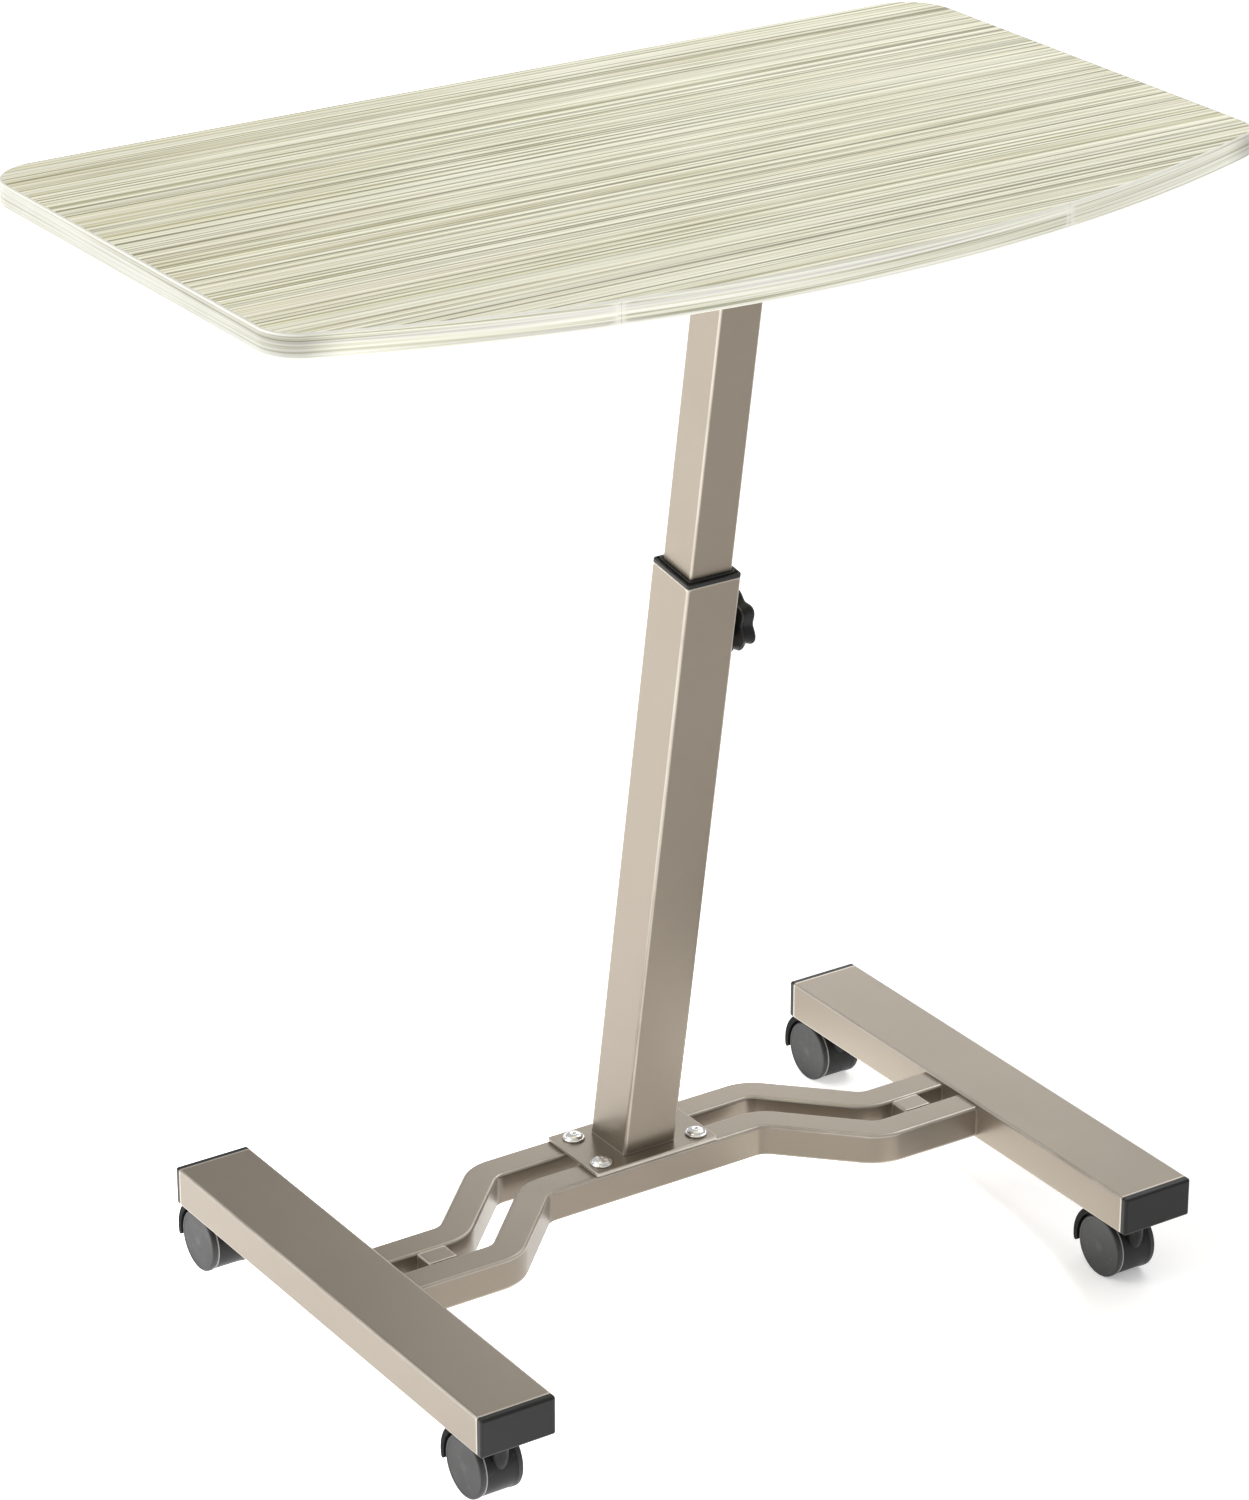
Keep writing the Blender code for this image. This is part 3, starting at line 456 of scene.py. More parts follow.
def powder_coat():
    """Champagne coat: fine flake, orange peel, slight mottling, and a painted highlight on convex edges."""
    finish = Finish("powder_coat")
    mottle = finish.noise(14.0, 3.0, 0.6)
    flake = finish.noise(2600.0, 1.0, 0.6)
    peel = finish.noise(620.0, 2.0, 0.5)
    scuff = finish.noise((26.0, 26.0, 240.0), 2.0, 0.6, (3.0, 0.0, 0.0))
    colour = finish.mix(finish.ranged(mottle, 0.3, 0.7), COAT_DARK, COAT_LIGHT)
    colour = finish.mix(finish.ranged(flake, 0.62, 0.74, 0.0, 0.30), colour, COAT_FLAKE)
    colour = finish.mix(finish.ranged(scuff, 0.66, 0.78, 0.0, 0.06), colour, COAT_FLAKE)
    # Painted highlight: convex edges are lightened towards a pale cream, unevenly along the mottle.
    edge_highlight = finish.math("MULTIPLY", finish.edges(0.509, 0.524), finish.ranged(mottle, 0.30, 0.60, 0.6, 1.0))
    colour = finish.mix(finish.math("MULTIPLY", edge_highlight, 0.50), colour, COAT_EDGE_HIGHLIGHT)
    finish.bump(finish.math("MULTIPLY_ADD", flake, 0.25, peel), 0.00005, 0.30)
    rough = finish.ranged(finish.noise(9.0, 2.0, 0.5), 0.3, 0.7, 0.31, 0.34)
    return finish.set(
        Base_Color=colour,
        Roughness=finish.math("MULTIPLY_ADD", finish.ranged(scuff, 0.68, 0.8), 0.06, rough),
        Metallic=0.68,
        IOR=1.50,
        Coat_Weight=0.12,
        Coat_Roughness=0.16,
    )


def plastic(name, dark, light, edge, rough, specular, dust=0.0):
    """Moulded plastic: fine grain, slow variation, a painted highlight on convex edges and a little dust."""
    finish = Finish(name)
    slow = finish.noise(38.0, 3.0, 0.6)
    fine = finish.noise(900.0, 2.0, 0.55)
    colour = finish.mix(finish.ranged(slow, 0.3, 0.7), dark, light)
    # Painted highlight: convex edges are lightened towards the edge colour.
    colour = finish.mix(finish.math("MULTIPLY", finish.edges(0.52, 0.64), 0.6), colour, edge)
    if dust:
        spots = finish.ranged(finish.noise(160.0, 4.0, 0.65, (5.0, 2.0, 7.0)), 0.56, 0.74, 0.0, dust)
        colour = finish.mix(spots, colour, srgb(150, 144, 134))
    finish.bump(fine, 0.00005, 0.5)
    return finish.set(
        Base_Color=colour,
        Roughness=finish.ranged(slow, 0.3, 0.7, rough - 0.05, rough + 0.06),
        Specular_IOR_Level=specular,
    )


def steel(name, dark, light, rough):
    """Plated steel: faint tarnish, fine brushing and tiny scratches."""
    finish = Finish(name)
    slow = finish.noise(90.0, 3.0, 0.6)
    fine = finish.noise(300.0, 2.0, 0.6)
    scratch = finish.ranged(finish.noise((1500.0, 260.0, 700.0), 1.0, 0.5, (1.0, 4.0, 2.0)), 0.64, 0.72)
    colour = finish.mix(finish.ranged(slow, 0.3, 0.7), dark, light)
    colour = finish.mix(finish.math("MULTIPLY", scratch, 0.25), colour, srgb(120, 118, 112))
    finish.bump(fine, 0.00002, 0.25)
    return finish.set(
        Base_Color=colour,
        Roughness=finish.math(
            "MULTIPLY_ADD", scratch, 0.12, finish.ranged(slow, 0.3, 0.7, rough, rough + 0.10)
        ),
        Metallic=1.0,
    )


MATERIALS = {
    "laminate": laminate(),
    "edge_band": edge_band(),
    "powder_coat": powder_coat(),
    "black_plastic": plastic(
        "black_plastic",
        (0.0085, 0.0085, 0.0088),
        (0.0115, 0.0115, 0.0118),
        (0.055, 0.054, 0.053),
        rough=0.40,
        specular=0.28,
    ),
    "caster_plastic": plastic(
        "caster_plastic",
        (0.0065, 0.0065, 0.0068),
        (0.009, 0.009, 0.0094),
        (0.070, 0.070, 0.070),
        rough=0.42,
        specular=0.25,
        dust=0.05,
    ),
    # Painted shade: near-black, rough faces on the hood's sides and underside, standing for the shadowed hollow of
    # the hood.
    "hood_shade": plastic(
        "hood_shade",
        (0.004, 0.004, 0.004),
        (0.007, 0.007, 0.007),
        (0.02, 0.02, 0.02),
        rough=0.75,
        specular=0.15,
    ),
    # Painted highlight: a light grey material for the left bevel of each caster web.
    "seam_highlight": plastic(
        "seam_highlight",
        (0.26, 0.26, 0.26),
        (0.34, 0.34, 0.34),
        (0.45, 0.45, 0.45),
        rough=0.35,
        specular=0.6,
    ),
    "wheel_plastic": plastic(
        "wheel_plastic",
        (0.020, 0.020, 0.0205),
        (0.026, 0.026, 0.0265),
        (0.10, 0.10, 0.10),
        rough=0.50,
        specular=0.4,
        dust=0.06,
    ),
    "zinc_steel": steel("zinc_steel", (0.52, 0.52, 0.50), (0.66, 0.66, 0.63), 0.30),
    "bright_steel": steel("bright_steel", (0.78, 0.78, 0.77), (0.90, 0.90, 0.89), 0.10),
}


# Tabletop.


def tabletop_outline(inset, groove=0.0):
    """The plan outline, inset from the edge. The two seams in the front edge are sunk by groove."""
    low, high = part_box("tabletop_edge_band")
    half_x = high.x - inset
    back_corner = TOP_BACK_CORNER - inset
    front_centre_y = low.y + TOP_FRONT_RADIUS
    corner_x = high.x - TOP_FRONT_CORNER
    reach = TOP_FRONT_RADIUS - TOP_FRONT_CORNER
    corner_y = front_centre_y - sqrt(reach * reach - corner_x * corner_x)
    swing = atan2(corner_x, front_centre_y - corner_y)
    back = (half_x - back_corner, high.y - inset - back_corner)
    seam = atan2(BAND_SEAM_X, TOP_FRONT_RADIUS)
    notch = [(-0.00022, 0.0), (-0.00010, 1.0), (0.00010, 1.0), (0.00022, 0.0)]
    front = [(-swing + 2 * swing * i / 96, 0.0) for i in range(1, 96)]
    front = [item for item in front if abs(abs(item[0]) - seam) > 0.0006]
    for side in (-1, 1):
        front += [(side * seam + x / TOP_FRONT_RADIUS, depth) for x, depth in notch]
    front.sort()
    front_arc = [
        (
            (TOP_FRONT_RADIUS - inset - groove * depth) * sin(angle),
            front_centre_y - (TOP_FRONT_RADIUS - inset - groove * depth) * cos(angle),
        )
        for angle, depth in front
    ]
    front_corner = TOP_FRONT_CORNER - inset
    return (
        arc(back, back_corner, 0, pi / 2, 20)
        + arc((-back[0], back[1]), back_corner, pi / 2, pi, 20)
        + arc((-corner_x, corner_y), front_corner, pi, 1.5 * pi - swing, 16)
        + front_arc
        + arc((corner_x, corner_y), front_corner, 1.5 * pi + swing, 2 * pi, 16)
    )


def make_tabletop():
    low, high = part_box("tabletop_edge_band")
    edge = rounded_edge(BAND_ARRIS, 5)
    profile = [(inset, low.z + BAND_ARRIS - rise) for inset, rise in reversed(edge)]
    profile += [(0.0, low.z + BAND_ARRIS + k * EDGE_SUPPORT) for k in (1, 2)]
    profile += [(0.0, high.z - BAND_ARRIS - k * EDGE_SUPPORT) for k in (2, 1)]
    profile += [(inset, high.z - BAND_ARRIS + rise) for inset, rise in edge]
    rings = [lifted(tabletop_outline(inset, 0.00025), z) for inset, z in profile]
    rings += [lifted(tabletop_outline(BAND_THICKNESS), z) for z in (high.z, low.z)]
    add_piece("top_edge_band", skin(rings, closed=True), "edge_band", "top", ["tabletop_edge_band"])
    panel = [lifted(tabletop_outline(BAND_THICKNESS), z) for z in (low.z, high.z)]
    add_piece("top_panel", skin(panel), "laminate", "top", ["tabletop_panel"])


# Mast and clamp.

PLATE_LOW, PLATE_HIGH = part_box("mast_base_plate")
MAST_FOOT = Vector((0.0, (PLATE_LOW.y + PLATE_HIGH.y) / 2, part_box("outer_mast_tube")[0].z))
MAST_LEAN = atan2(-JOINTS["height_slide"]["axis"][1], JOINTS["height_slide"]["axis"][2])
MAST_MATRIX = Matrix.Translation(MAST_FOOT) @ Matrix.Rotation(MAST_LEAN, 4, "X")
OUTER_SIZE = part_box("outer_mast_tube")[1].x * 2
INNER_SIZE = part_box("inner_mast_tube")[1].x * 2


def level_ring(outline, height):
    """A section of the leaning mast cut level, at a height above the mast's foot."""
    return [(x, y, (height - y * sin(MAST_LEAN)) / cos(MAST_LEAN)) for x, y in outline]


def make_mast():
    outer = rounded_rectangle(OUTER_SIZE, OUTER_SIZE, OUTER_CORNER)
    bore_size = OUTER_SIZE - 2 * WALL
    bore = rounded_rectangle(bore_size, bore_size, OUTER_CORNER - WALL / 2)
    rings = [level_ring(outer, k * EDGE_SUPPORT) for k in range(3)]
    rings += [lifted(outer, OUTER_LENGTH - 0.0006 - k * EDGE_SUPPORT) for k in (2, 1)]
    for inset, rise in rounded_edge(0.0006, 3):
        size = OUTER_SIZE - 2 * inset
        rings.append(
            lifted(rounded_rectangle(size, size, OUTER_CORNER - inset), OUTER_LENGTH - 0.0006 + rise)
        )
    rings += [lifted(bore, OUTER_LENGTH), level_ring(bore, 0.0)]
    add_piece(
        "mast_outer_tube", skin(rings, True, MAST_MATRIX), "powder_coat", "base", ["outer_mast_tube"]
    )
    low = (MAST_MATRIX.inverted() @ Vector((0, *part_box("inner_mast_tube")[0].yz))).z
    start = max(low, INNER_TUBE_FOOT)
    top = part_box("top_mounting_plate")[0].z - MAST_FOOT.z
    outer = rounded_rectangle(INNER_SIZE, INNER_SIZE, INNER_CORNER)
    bore_size = INNER_SIZE - 2 * WALL
    bore = rounded_rectangle(bore_size, bore_size, INNER_CORNER - WALL / 2)
    rings = [lifted(outer, start + k * EDGE_SUPPORT) for k in range(3)]
    rings += [level_ring(outer, top - k * EDGE_SUPPORT) for k in (2, 1, 0)]
    rings += [level_ring(bore, top), lifted(bore, start)]
    add_piece("mast_inner_tube", skin(rings, True, MAST_MATRIX), "powder_coat", "top", ["inner_mast_tube"])


def make_collar():
    seat = OUTER_LENGTH + 0.0002
    bore = INNER_SIZE + 0.0006
    sleeve = OUTER_SIZE - 2 * WALL - 0.0006
    profile = (
        (OUTER_SIZE, OUTER_CORNER, 0.0),
        (OUTER_SIZE, OUTER_CORNER, 0.0020),
        (OUTER_SIZE - 0.0005, OUTER_CORNER, 0.0026),
        (OUTER_SIZE - 0.0014, OUTER_CORNER, 0.0028),
        (OUTER_SIZE - 0.0034, OUTER_CORNER - 0.001, 0.0028),
        (OUTER_SIZE - 0.0039, OUTER_CORNER - 0.001, 0.0024),
        (OUTER_SIZE - 0.0040, OUTER_CORNER - 0.001, 0.0018),
        (INNER_SIZE + 0.0046, INNER_CORNER + 0.001, 0.0018),
        (INNER_SIZE + 0.0044, INNER_CORNER + 0.001, 0.0034),
        (INNER_SIZE + 0.0038, INNER_CORNER + 0.001, 0.0039),
        (INNER_SIZE + 0.0030, INNER_CORNER + 0.001, 0.0040),
        (bore + 0.0008, INNER_CORNER, 0.0040),
        (bore, INNER_CORNER, 0.0034),
        (bore, INNER_CORNER, -COLLAR_SLEEVE),
        (sleeve, OUTER_CORNER - WALL, -COLLAR_SLEEVE),
        (sleeve, OUTER_CORNER - WALL, 0.0),
    )
    rings = [lifted(rounded_rectangle(size, size, corner), seat + z) for size, corner, z in profile]
    add_piece("mast_collar", skin(rings, True, MAST_MATRIX), "black_plastic", "base", ["collar_bushing"])


def clamp_place(x):
    """Turns +Z to point along +X, at the clamp's axis, with height 0 at x."""
    return MAST_MATRIX @ Matrix.Translation((x, 0, CLAMP_ALONG)) @ Matrix.Rotation(pi / 2, 4, "Y")


def knob_ring(inset, height, lobes=1.0):
    """One section of the star knob. The lobes fade out as lobes goes to 0."""
    ring = []
    for i in range(144):
        angle = 2 * pi * i / 144
        swing = (1 - cos(KNOB_LOBES * (angle - KNOB_LOBE_PHASE))) / 2
        radius = KNOB_RADIUS - inset - KNOB_LOBE_DEPTH * swing * lobes
        ring.append((radius * cos(angle), radius * sin(angle), height))
    return ring


def make_clamp():
    low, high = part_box("clamp_boss")
    length = high.x - low.x
    radius = (high.z - low.z) / 2
    bore = 0.0043
    profile = (
        (bore, 0.0),
        (radius, 0.0),
        (radius, length - 0.0008),
        (radius - 0.0003, length - 0.0002),
        (radius - 0.0009, length),
        (bore + 0.0004, length),
        (bore, length - 0.0004),
    )
    boss = turned(profile, clamp_place(low.x), closed=True)
    add_piece("clamp_threaded_boss", boss, "powder_coat", "base", ["clamp_boss"])
    low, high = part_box("clamp_knob")
    depth = high.x - low.x
    hub = 0.0038
    edge = 0.0030
    rounding = rounded_edge(edge, 6)
    rings = [
        knob_ring(KNOB_RADIUS - 0.0102, 0.0, 0.0),
        knob_ring(KNOB_RADIUS - 0.0110, 0.0006, 0.0),
        knob_ring(KNOB_RADIUS - 0.0110, hub - 0.0010, 0.0),
        knob_ring(0.0095, hub - 0.0005, 0.2),
    ]
    rings += [knob_ring(edge - inset, hub - 0.0005 + edge - rise) for rise, inset in reversed(rounding)]
    rings += [knob_ring(inset, depth - edge + rise) for inset, rise in rounding]
    rings += [
        knob_ring(0.0042, depth - 0.0001),
        knob_ring(0.0072, depth - 0.0009, 0.7),
        knob_ring(0.0105, depth - 0.0014, 0.35),
        knob_ring(KNOB_RADIUS - 0.0080, depth - 0.0015, 0.0),
        knob_ring(KNOB_RADIUS - 0.0076, depth - 0.0019, 0.0),
        knob_ring(KNOB_RADIUS - 0.0070, depth - 0.0014, 0.0),
        knob_ring(KNOB_RADIUS - 0.0062, depth - 0.0009, 0.0),
        knob_ring(KNOB_RADIUS - 0.0030, depth - 0.0006, 0.0),
    ]
    knob = skin(rings, False, clamp_place(low.x))
    add_piece("clamp_star_knob", knob, "black_plastic", "clamp_knob", ["clamp_knob"])


# Base.


def make_plate(name, node, body, corner, edge):
    low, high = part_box(node)
    size = high - low
    place = Matrix.Translation(((low.x + high.x) / 2, (low.y + high.y) / 2, 0))
    rings = []
    for inset, rise in reversed(rounded_edge(edge * 0.6, 3)):
        outline = rounded_rectangle(size.x - 2 * inset, size.y - 2 * inset, corner - inset)
        rings.append(lifted(outline, low.z + edge * 0.6 - rise))
    for inset, rise in rounded_edge(edge, 4):
        outline = rounded_rectangle(size.x - 2 * inset, size.y - 2 * inset, corner - inset)
        rings.append(lifted(outline, high.z - edge + rise))
    for k in (1, 2):
        inset = edge + k * EDGE_SUPPORT
        rings.append(lifted(rounded_rectangle(size.x - 2 * inset, size.y - 2 * inset, 0.0006), high.z))
        rings.insert(0, lifted(rounded_rectangle(size.x - 2 * inset, size.y - 2 * inset, 0.0006), low.z))
    add_piece(name, skin(rings, False, place), "powder_coat", body, [node])


def hexagon(flats, steps=64):
    ring = []
    for i in range(steps):
        angle = 2 * pi * i / steps
        radius = flats / 2 / cos((angle + pi / 6) % (pi / 3) - pi / 6)
        ring.append((radius * cos(angle), radius * sin(angle)))
    return ring


def make_base_bolt(corner):
    """A domed head with a washer rim, a fine groove and a small hex socket."""
    low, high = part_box("base_bolt_" + corner)
    place = Matrix.Translation(((low.x + high.x) / 2, (low.y + high.y) / 2, PLATE_HIGH.z))
    height = high.z - PLATE_HIGH.z
    radius = (high.x - low.x) / 2 * BOLT_HEAD_SCALE
    shank = 0.004
    profile = [(shank, low.z - PLATE_HIGH.z), (shank, 0.0001), (radius - 0.0003, 0.0001), (radius, 0.0005)]
    profile += [(radius, 0.0012), (radius - 0.0003, 0.0016), (radius - 0.0009, 0.0018)]
    profile += [(radius - 0.0012, 0.0016), (radius - 0.0015, 0.0018)]
    dome = radius - 0.0015
    for i in range(1, 9):
        angle = pi / 2 * 0.80 * i / 8
        profile.append((dome * cos(angle), 0.0018 + (height - 0.0018) * sin(angle) / sin(pi / 2 * 0.80)))
    rings = [lifted(circle(r), z) for r, z in profile]
    rings += [lifted(circle(0.0016), height - 0.0001), lifted(hexagon(0.0024), height - 0.0003)]
    rings += [lifted(hexagon(0.0023), height - 0.0016), lifted(hexagon(0.0004), height - 0.0019)]
    add_piece(
        "plate_bolt_" + corner, skin(rings, False, place), "bright_steel", "base", ["base_bolt_" + corner], 50
    )


def bar_stations(offset, step):
    """Centre-line points of a crossbar with their sideways directions, from its right end to its left."""
    front_y, back_y = step
    shift = offset * (sqrt(2) - 1)
    start_x = BAR_STEP_START_X + shift
    end_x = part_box("leg_tube_right")[0].x - 0.0001
    corners = [
        Vector((end_x, front_y + offset)),
        Vector((start_x, front_y + offset)),
        Vector((start_x - (back_y - front_y), back_y + offset)),
        Vector((0.0, back_y + offset)),
    ]
    stations = []
    for shift_in in (0.0, EDGE_SUPPORT, 2 * EDGE_SUPPORT):
        stations.append((corners[0] - Vector((shift_in, 0.0)), Vector((0.0, -1.0))))
    for before, corner, after in zip(corners, corners[1:], corners[2:]):
        incoming = (corner - before).normalized()
        outgoing = (after - corner).normalized()
        sign = 1 if incoming.cross(outgoing) > 0 else -1
        half_turn = incoming.angle(outgoing) / 2
        centre = corner + (outgoing - incoming).normalized() * BAR_BEND_RADIUS / cos(half_turn)
        side = Vector((-incoming.y, incoming.x))
        for i in range(15):
            turn = Matrix.Rotation(sign * 2 * half_turn * i / 14, 2)
            stations.append((centre - turn @ side * sign * BAR_BEND_RADIUS, turn @ side))
    stations += [(Vector((-p.x, p.y)), Vector((-n.x, n.y))) for p, n in reversed(stations)]
    return stations


def make_crossbar(name, offset):
    node = "crossbar_" + name
    low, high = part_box(node)
    size = high.z - low.z
    spacer_low, spacer_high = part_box("crossbar_spacer_right")
    outer_y = (spacer_low.y + spacer_high.y) / 2
    section = rounded_rectangle(size, size, BAR_CORNER, 5)
    middle_z = (low.z + high.z) / 2
    rings = []
    for point, side in bar_stations(offset, (outer_y, MAST_FOOT.y)):
        rings.append([(point.x + side.x * u, point.y + side.y * u, middle_z + v) for u, v in section])
    add_piece("bent_" + node, skin(rings), "powder_coat", "base", [node])


def make_tube_along_y(name, node, corner):
    low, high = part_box(node)
    place = Matrix.Translation(((low.x + high.x) / 2, 0, (low.z + high.z) / 2))
    size = high - low
    rings = []
    ends_outside = [low.y + k * EDGE_SUPPORT for k in (0, 1, 2)]
    ends_outside += [high.y - k * EDGE_SUPPORT for k in (2, 1, 0)]
    for inset, ends in ((0.0, ends_outside), (WALL, (high.y, low.y))):
        outline = rounded_rectangle(size.x - 2 * inset, size.z - 2 * inset, corner - inset / 2)
        rings += [[(x, y, z) for x, z in outline] for y in ends]
    add_piece(name, skin(rings, True, place), "powder_coat", "base", [node])


def make_end_cap(corner):
    side, end = CORNERS[corner]
    leg = "leg_tube_" + ("left" if side < 0 else "right")
    low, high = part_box(leg)
    cap_low, cap_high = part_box("end_cap_" + corner)
    tube_end = high.y if end > 0 else low.y
    face = abs((cap_high.y if end > 0 else cap_low.y) - tube_end)
    width, height = high.x - low.x, high.z - low.z
    bevel = 0.0024
    sections = [
        # width, height, corner radius, depth
        (width - 0.0040, height - 0.0040, 0.0012, -0.012),
        (width - 0.0040, height - 0.0040, 0.0012, 0.0001),
        (width - 0.0006, height - 0.0006, LEG_CORNER, 0.0001),
        (width, height, LEG_CORNER, 0.0004),
    ]
    for inset, rise in rounded_edge(bevel, 6):
        radius = LEG_CORNER - inset * 0.7
        sections.append((width - 2 * inset, height - 2 * inset, radius, face - bevel + rise))
    sections.append((width - 2 * bevel - 0.006, height - 2 * bevel - 0.006, 0.0008, face - 0.00015))
    place = Matrix.Translation(((low.x + high.x) / 2, tube_end, (low.z + high.z) / 2))
    rings = [
        [(x, end * depth, z) for x, z in rounded_rectangle(size_x, size_z, radius)]
        for size_x, size_z, radius, depth in sections
    ]
    add_piece("leg_cap_" + corner, skin(rings, False, place), "black_plastic", "base", ["end_cap_" + corner])


def make_base():
    make_plate("mast_foot_plate", "mast_base_plate", "base", 0.0024, 0.0008)
    for corner in CORNERS:
        make_base_bolt(corner)
        make_end_cap(corner)
    spacer_low, spacer_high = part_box("crossbar_spacer_right")
    bar_low, bar_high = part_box("crossbar_front")
    half_pitch = (spacer_high.y - spacer_low.y + 0.0006) / 2 + (bar_high.z - bar_low.z) / 2
    make_crossbar("front", -half_pitch)
    make_crossbar("back", half_pitch)
    for side in SIDES:
        make_tube_along_y("leg_beam_" + side, "leg_tube_" + side, LEG_CORNER)
        make_tube_along_y("bar_spacer_" + side, "crossbar_spacer_" + side, SPACER_CORNER)


# Casters.


def about_axle(ring, axle):
    """(radius, angle, x) points to the row frame. Angle 0 is +Y and 90 degrees is up."""
    return [(x, axle.y + r * cos(a), axle.z + r * sin(a)) for r, a, x in ring]


def axle_turned(profile, axle, steps=96, closed=False):
    """A solid turned about the axle through (radius, x) points."""
    angles = [2 * pi * i / steps for i in range(steps)]
    return skin([about_axle([(r, a, x) for a in angles], axle) for r, x in profile], closed)


def hood_shell(axle, inner, outer, half):
    """The fender: a band over the wheels with bevelled rims and a rounded lower end."""
    bevel = 0.0007
    stations = []
    for angle, share in ((0.0, 0.30), (0.6, 0.62), (1.5, 0.84), (2.8, 0.96), (4.5, 1.0)):
        stations.append((HOOD_FROM + radians(angle), share))
    full_from = HOOD_FROM + radians(4.5)
    stations += [(full_from + (HOOD_TO - full_from) * i / 44, 1.0) for i in range(1, 45)]
    rings = []
    for angle, share in stations:
        middle, reach = (inner + outer) / 2, (outer - inner) / 2 * share
        low, high = middle - reach, middle + reach
        cut = bevel * share
        ring = [(low, -half), (high - cut, -half), (high - cut * 0.3, -half + cut * 0.3), (high, -half + cut)]
        ring += [(high, half - cut), (high - cut * 0.3, half - cut * 0.3), (high - cut, half), (low, half)]
        rings.append(about_axle([(r, angle, axle.x + x) for r, x in ring], axle))
    return skin(rings)


def make_caster(corner):
    stem_low, stem_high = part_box("caster_stem_" + corner)
    stem = Vector(((stem_low.x + stem_high.x) / 2, (stem_low.y + stem_high.y) / 2, 0))
    wheel_low, wheel_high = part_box("wheel_%s_right" % corner)
    wheel_radius = (wheel_high.z - wheel_low.z) / 2
    axle = Vector((stem.x, (wheel_low.y + wheel_high.y) / 2, wheel_low.z + wheel_radius))
    body_low, body_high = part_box("caster_body_" + corner)
    half = (body_high.x - body_low.x) / 2
    hood_outer = body_high.y - axle.y
    web_radius = wheel_radius - 0.0005
    web_left, web_right = stem.x - WEB_HALF, stem.x + WEB_HALF
    web_profile = (
        (web_radius - 0.0009, web_left),
        (web_radius - 0.0002, web_left + 0.0003),
        (web_radius, web_left + 0.0010),
        (web_radius, web_left + 0.0022),
        (web_radius, web_right - 0.0030),
        (wheel_radius - 0.00015, web_right - 0.0005),
        (wheel_radius - 0.0001, web_right + 0.0001),
    )
    web = axle_turned(web_profile, axle)
    hood = hood_shell(axle, wheel_radius + HOOD_GAP, hood_outer, half)
    sweep = [HOOD_FROM + radians(6) + (HOOD_TO - HOOD_FROM - radians(7)) * i / 30 for i in range(31)]
    outline = [(hood_outer - 0.002, a) for a in sweep] + [(web_radius - 0.006, a) for a in reversed(sweep)]
    carrier = skin([about_axle([(r, a, x) for r, a in outline], axle) for x in (web_left, web_right)])
    boss_top = stem_high.z - BOSS_BELOW_STEM_TOP
    round_centre = axle.z + 0.0145
    boss_profile = []
    for i in range(15):
        angle = radians(-84 + 84 * i / 14)
        boss_profile.append((BOSS_RADIUS * cos(angle), round_centre + 0.0125 * sin(angle)))
    boss_profile += [(BOSS_RADIUS, boss_top - 0.0006), (BOSS_RADIUS - 0.0006, boss_top)]
    boss = turned(boss_profile, Matrix.Translation(stem), 48)
    bore_profile = [(STEM_BORE_RADIUS, stem_low.z - 0.0003), (STEM_BORE_RADIUS, boss_top + 0.004)]
    stem_bore = turned(bore_profile, Matrix.Translation(stem), 32)
    axle_bore = axle_turned([(AXLE_BORE_RADIUS, stem.x + x) for x in (-0.02, 0.02)], axle, 24)
    shape = joined("caster", web, [carrier, hood, boss], [stem_bore, axle_bore])
    plain, recess_shade, rim_highlight = range(3)
    for face in shape.faces:
        middle = face.calc_center_median() - axle
        radial = sqrt(middle.y * middle.y + middle.z * middle.z)
        # Painted shade: the hood's side faces and the faces turned in towards the wheels get the near-black
        # material.
        under_hood = abs(face.normal.x) > 0.9 or face.normal.yz.dot(middle.yz) < 0
        face.material_index = recess_shade if radial > wheel_radius and under_hood else plain
        # Painted highlight: the web's left bevel faces get the light grey material.
        if -WEB_HALF < middle.x < -WEB_HALF + 0.0009 and web_radius - 0.0013 < radial < wheel_radius:
            face.material_index = rim_highlight
    add_piece(
        "caster_hood_" + corner,
        shape,
        "caster_plastic",
        "caster_" + corner,
        ["caster_body_" + corner],
        extra=("hood_shade", "seam_highlight"),
    )
    shank = 0.0040
    collar = 0.0066
    leg_z = boss_top + 0.0022
    profile = (
        (0.0030, stem_low.z),
        (shank, stem_low.z + 0.001),
        (shank, boss_top + 0.0003),
        (collar - 0.0003, boss_top + 0.0003),
        (collar, boss_top + 0.0006),
        (collar, leg_z - 0.0005),
        (collar - 0.0003, leg_z - 0.0002),
        (shank, leg_z - 0.0002),
        (shank, stem_high.z - 0.0008),
        (0.0032, stem_high.z),
    )
    pin = turned(profile, Matrix.Translation(stem), 48)
    add_piece("caster_pin_" + corner, pin, "zinc_steel", "base", ["caster_stem_" + corner])
    for side, sign in SIDES.items():
        make_wheel(corner, side, sign, axle, wheel_radius)


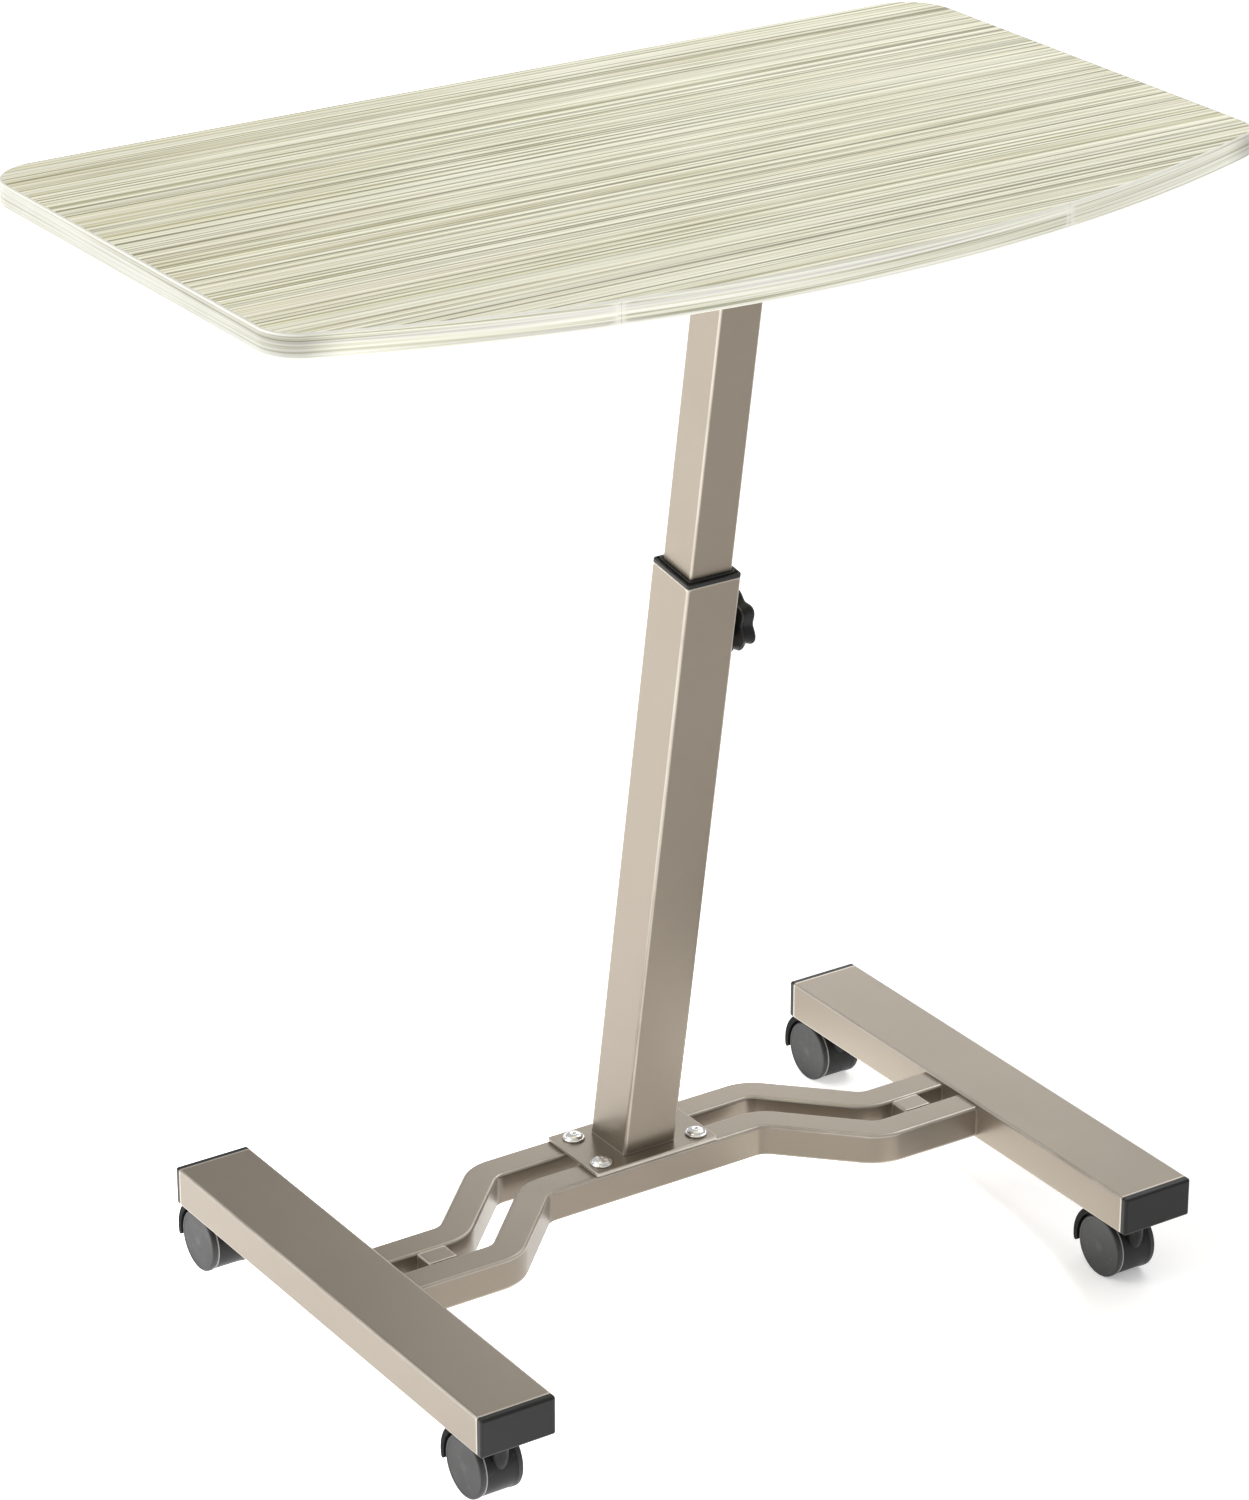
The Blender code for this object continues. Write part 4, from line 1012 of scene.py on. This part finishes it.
def make_wheel(corner, side, sign, axle, radius):
    node = "wheel_%s_%s" % (corner, side)
    low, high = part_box(node)
    inner, outer = (high.x, low.x) if sign < 0 else (low.x, high.x)
    shoulder = 0.0015
    inner_bevel = 0.0009 if sign < 0 else 0.0002
    flat = radius - shoulder
    profile = [(radius - inner_bevel, inner), (radius - inner_bevel * 0.3, inner + sign * inner_bevel * 0.3)]
    profile += [(radius, inner + sign * inner_bevel)]
    for inset, rise in rounded_edge(shoulder, 5):
        profile.append((radius - inset, outer + sign * (rise - shoulder)))
    profile += [(flat - 0.0012, outer), (flat - 0.0014, outer - sign * 0.00015)]
    profile += [(0.0060, outer - sign * 0.00015), (0.0004, outer - sign * 0.00015)]
    profile += [(0.0004, inner + sign * 0.0024), (AXLE_BORE_RADIUS, inner + sign * 0.0024)]
    profile += [(AXLE_BORE_RADIUS, inner)]
    shape = axle_turned(profile, axle, closed=True)
    add_piece("disc_" + node, shape, "wheel_plastic", node, [node], 30)


# Under the tabletop.


def make_top_screw(corner):
    low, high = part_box("top_screw_" + corner)
    place = Matrix.Translation(((low.x + high.x) / 2, (low.y + high.y) / 2, 0))
    radius = (high.x - low.x) / 2
    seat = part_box("top_mounting_plate")[0].z
    rings = [lifted(hexagon(0.0008, 48), low.z + 0.0014), lifted(hexagon(0.0026, 48), low.z + 0.0013)]
    rings += [lifted(hexagon(0.0027, 48), low.z + 0.0002), lifted(circle(0.0019, 48), low.z)]
    for i in range(6):
        angle = pi / 2 * i / 5
        ring = circle(0.0019 + (radius - 0.0019) * sin(angle), 48)
        rings.append(lifted(ring, low.z + 0.0018 * (1 - cos(angle))))
    rings += [lifted(circle(radius, 48), seat - 0.0001), lifted(circle(0.0020, 48), seat - 0.0001)]
    rings += [lifted(circle(0.0020, 48), high.z - 0.003), lifted(circle(0.0003, 48), high.z)]
    screw = skin(rings, False, place)
    add_piece("wood_screw_" + corner, screw, "zinc_steel", "top", ["top_screw_" + corner], 50)


# Stage.


def aim(item, place, target):
    item.location = place
    item.rotation_euler = (Vector(target) - Vector(place)).to_track_quat("-Z", "Y").to_euler()
    bpy.context.scene.collection.objects.link(item)


def add_area(name, place, target, size_x, size_y, power):
    light = bpy.data.lights.new(name, "AREA")
    light.shape = "RECTANGLE"
    light.size = size_x
    light.size_y = size_y
    light.energy = power
    panel = bpy.data.objects.new(name, light)
    panel.visible_camera = False
    aim(panel, place, target)


def make_stage():
    world = bpy.data.worlds.new("studio")
    world.use_nodes = True
    world.node_tree.nodes["Background"].inputs["Color"].default_value = (1.0, 1.0, 1.0, 1.0)
    world.node_tree.nodes["Background"].inputs["Strength"].default_value = WORLD_STRENGTH
    bpy.context.scene.world = world
    bpy.context.scene.view_settings.view_transform = "Standard"
    finish = Finish("floor")
    cloud = finish.noise(1.3, 3.0, 0.5)
    x, y, _ = finish.axes()
    toward_left = finish.math("MULTIPLY", x, LEFT_DIRECTION[0])
    toward_left = finish.math("MULTIPLY_ADD", y, LEFT_DIRECTION[1], toward_left)
    left_glow = finish.ranged(toward_left, LEFT_FROM, LEFT_TO, 0.0, FLOOR_GLOW_LEFT)
    distance = finish.math("SQRT", finish.math("MULTIPLY_ADD", x, x, finish.math("MULTIPLY", y, y)))
    far_glow = finish.ranged(distance, FAR_FROM, FAR_TO, 0.0, FLOOR_GLOW_FAR)
    squares = []
    for place, centre, reach in zip((x, y), PATCH_CENTRE, PATCH_REACH):
        offset = finish.math("MULTIPLY_ADD", place, 1 / reach, -centre / reach)
        squares.append(finish.math("POWER", offset, 2.0))
    patch_glow = finish.ranged(finish.math("ADD", *squares), 1.4, 0.3, 0.0, FLOOR_GLOW_PATCH)
    finish.bump(finish.noise(300.0, 2.0), 0.0001, 0.1)
    finish.set(
        Base_Color=finish.mix(cloud, (0.90, 0.90, 0.90), (0.93, 0.93, 0.93)),
        Roughness=finish.ranged(cloud, 0.3, 0.7, 0.85, 0.95),
        Specular_IOR_Level=0.1,
        Emission_Color=(1.0, 1.0, 1.0),
        Emission_Strength=finish.math(
            "ADD", finish.math("ADD", patch_glow, far_glow), finish.math("ADD", left_glow, FLOOR_GLOW)
        ),
    )
    shape = bmesh.new()
    bmesh.ops.create_grid(shape, x_segments=8, y_segments=8, size=FLOOR_HALF_SIZE)
    mesh = to_mesh(shape, "floor")
    mesh.materials.append(finish.material)
    floor = bpy.data.objects.new("floor", mesh)
    bpy.context.scene.collection.objects.link(floor)
    for panel in PANELS:
        add_area(*panel)
    camera = bpy.data.cameras.new("camera")
    camera.lens = CAMERA_LENS
    camera.sensor_width = CAMERA_SENSOR
    camera_object = bpy.data.objects.new("camera", camera)
    aim(camera_object, CAMERA_PLACE, CAMERA_TARGET)
    bpy.context.scene.camera = camera_object


make_tabletop()
make_mast()
make_collar()
make_clamp()
make_base()
for corner in CORNERS:
    make_caster(corner)
    make_top_screw(corner)
make_plate("top_fixing_plate", "top_mounting_plate", "top", 0.010, 0.0005)

# CAD nodes that stay, with their finishes.
for subpart in frame["record"]["subparts"]:
    node = NODES[subpart["node"]]
    node.data.materials.clear()
    node.data.materials.append(MATERIALS[subpart["material_slot"]])

make_stage()
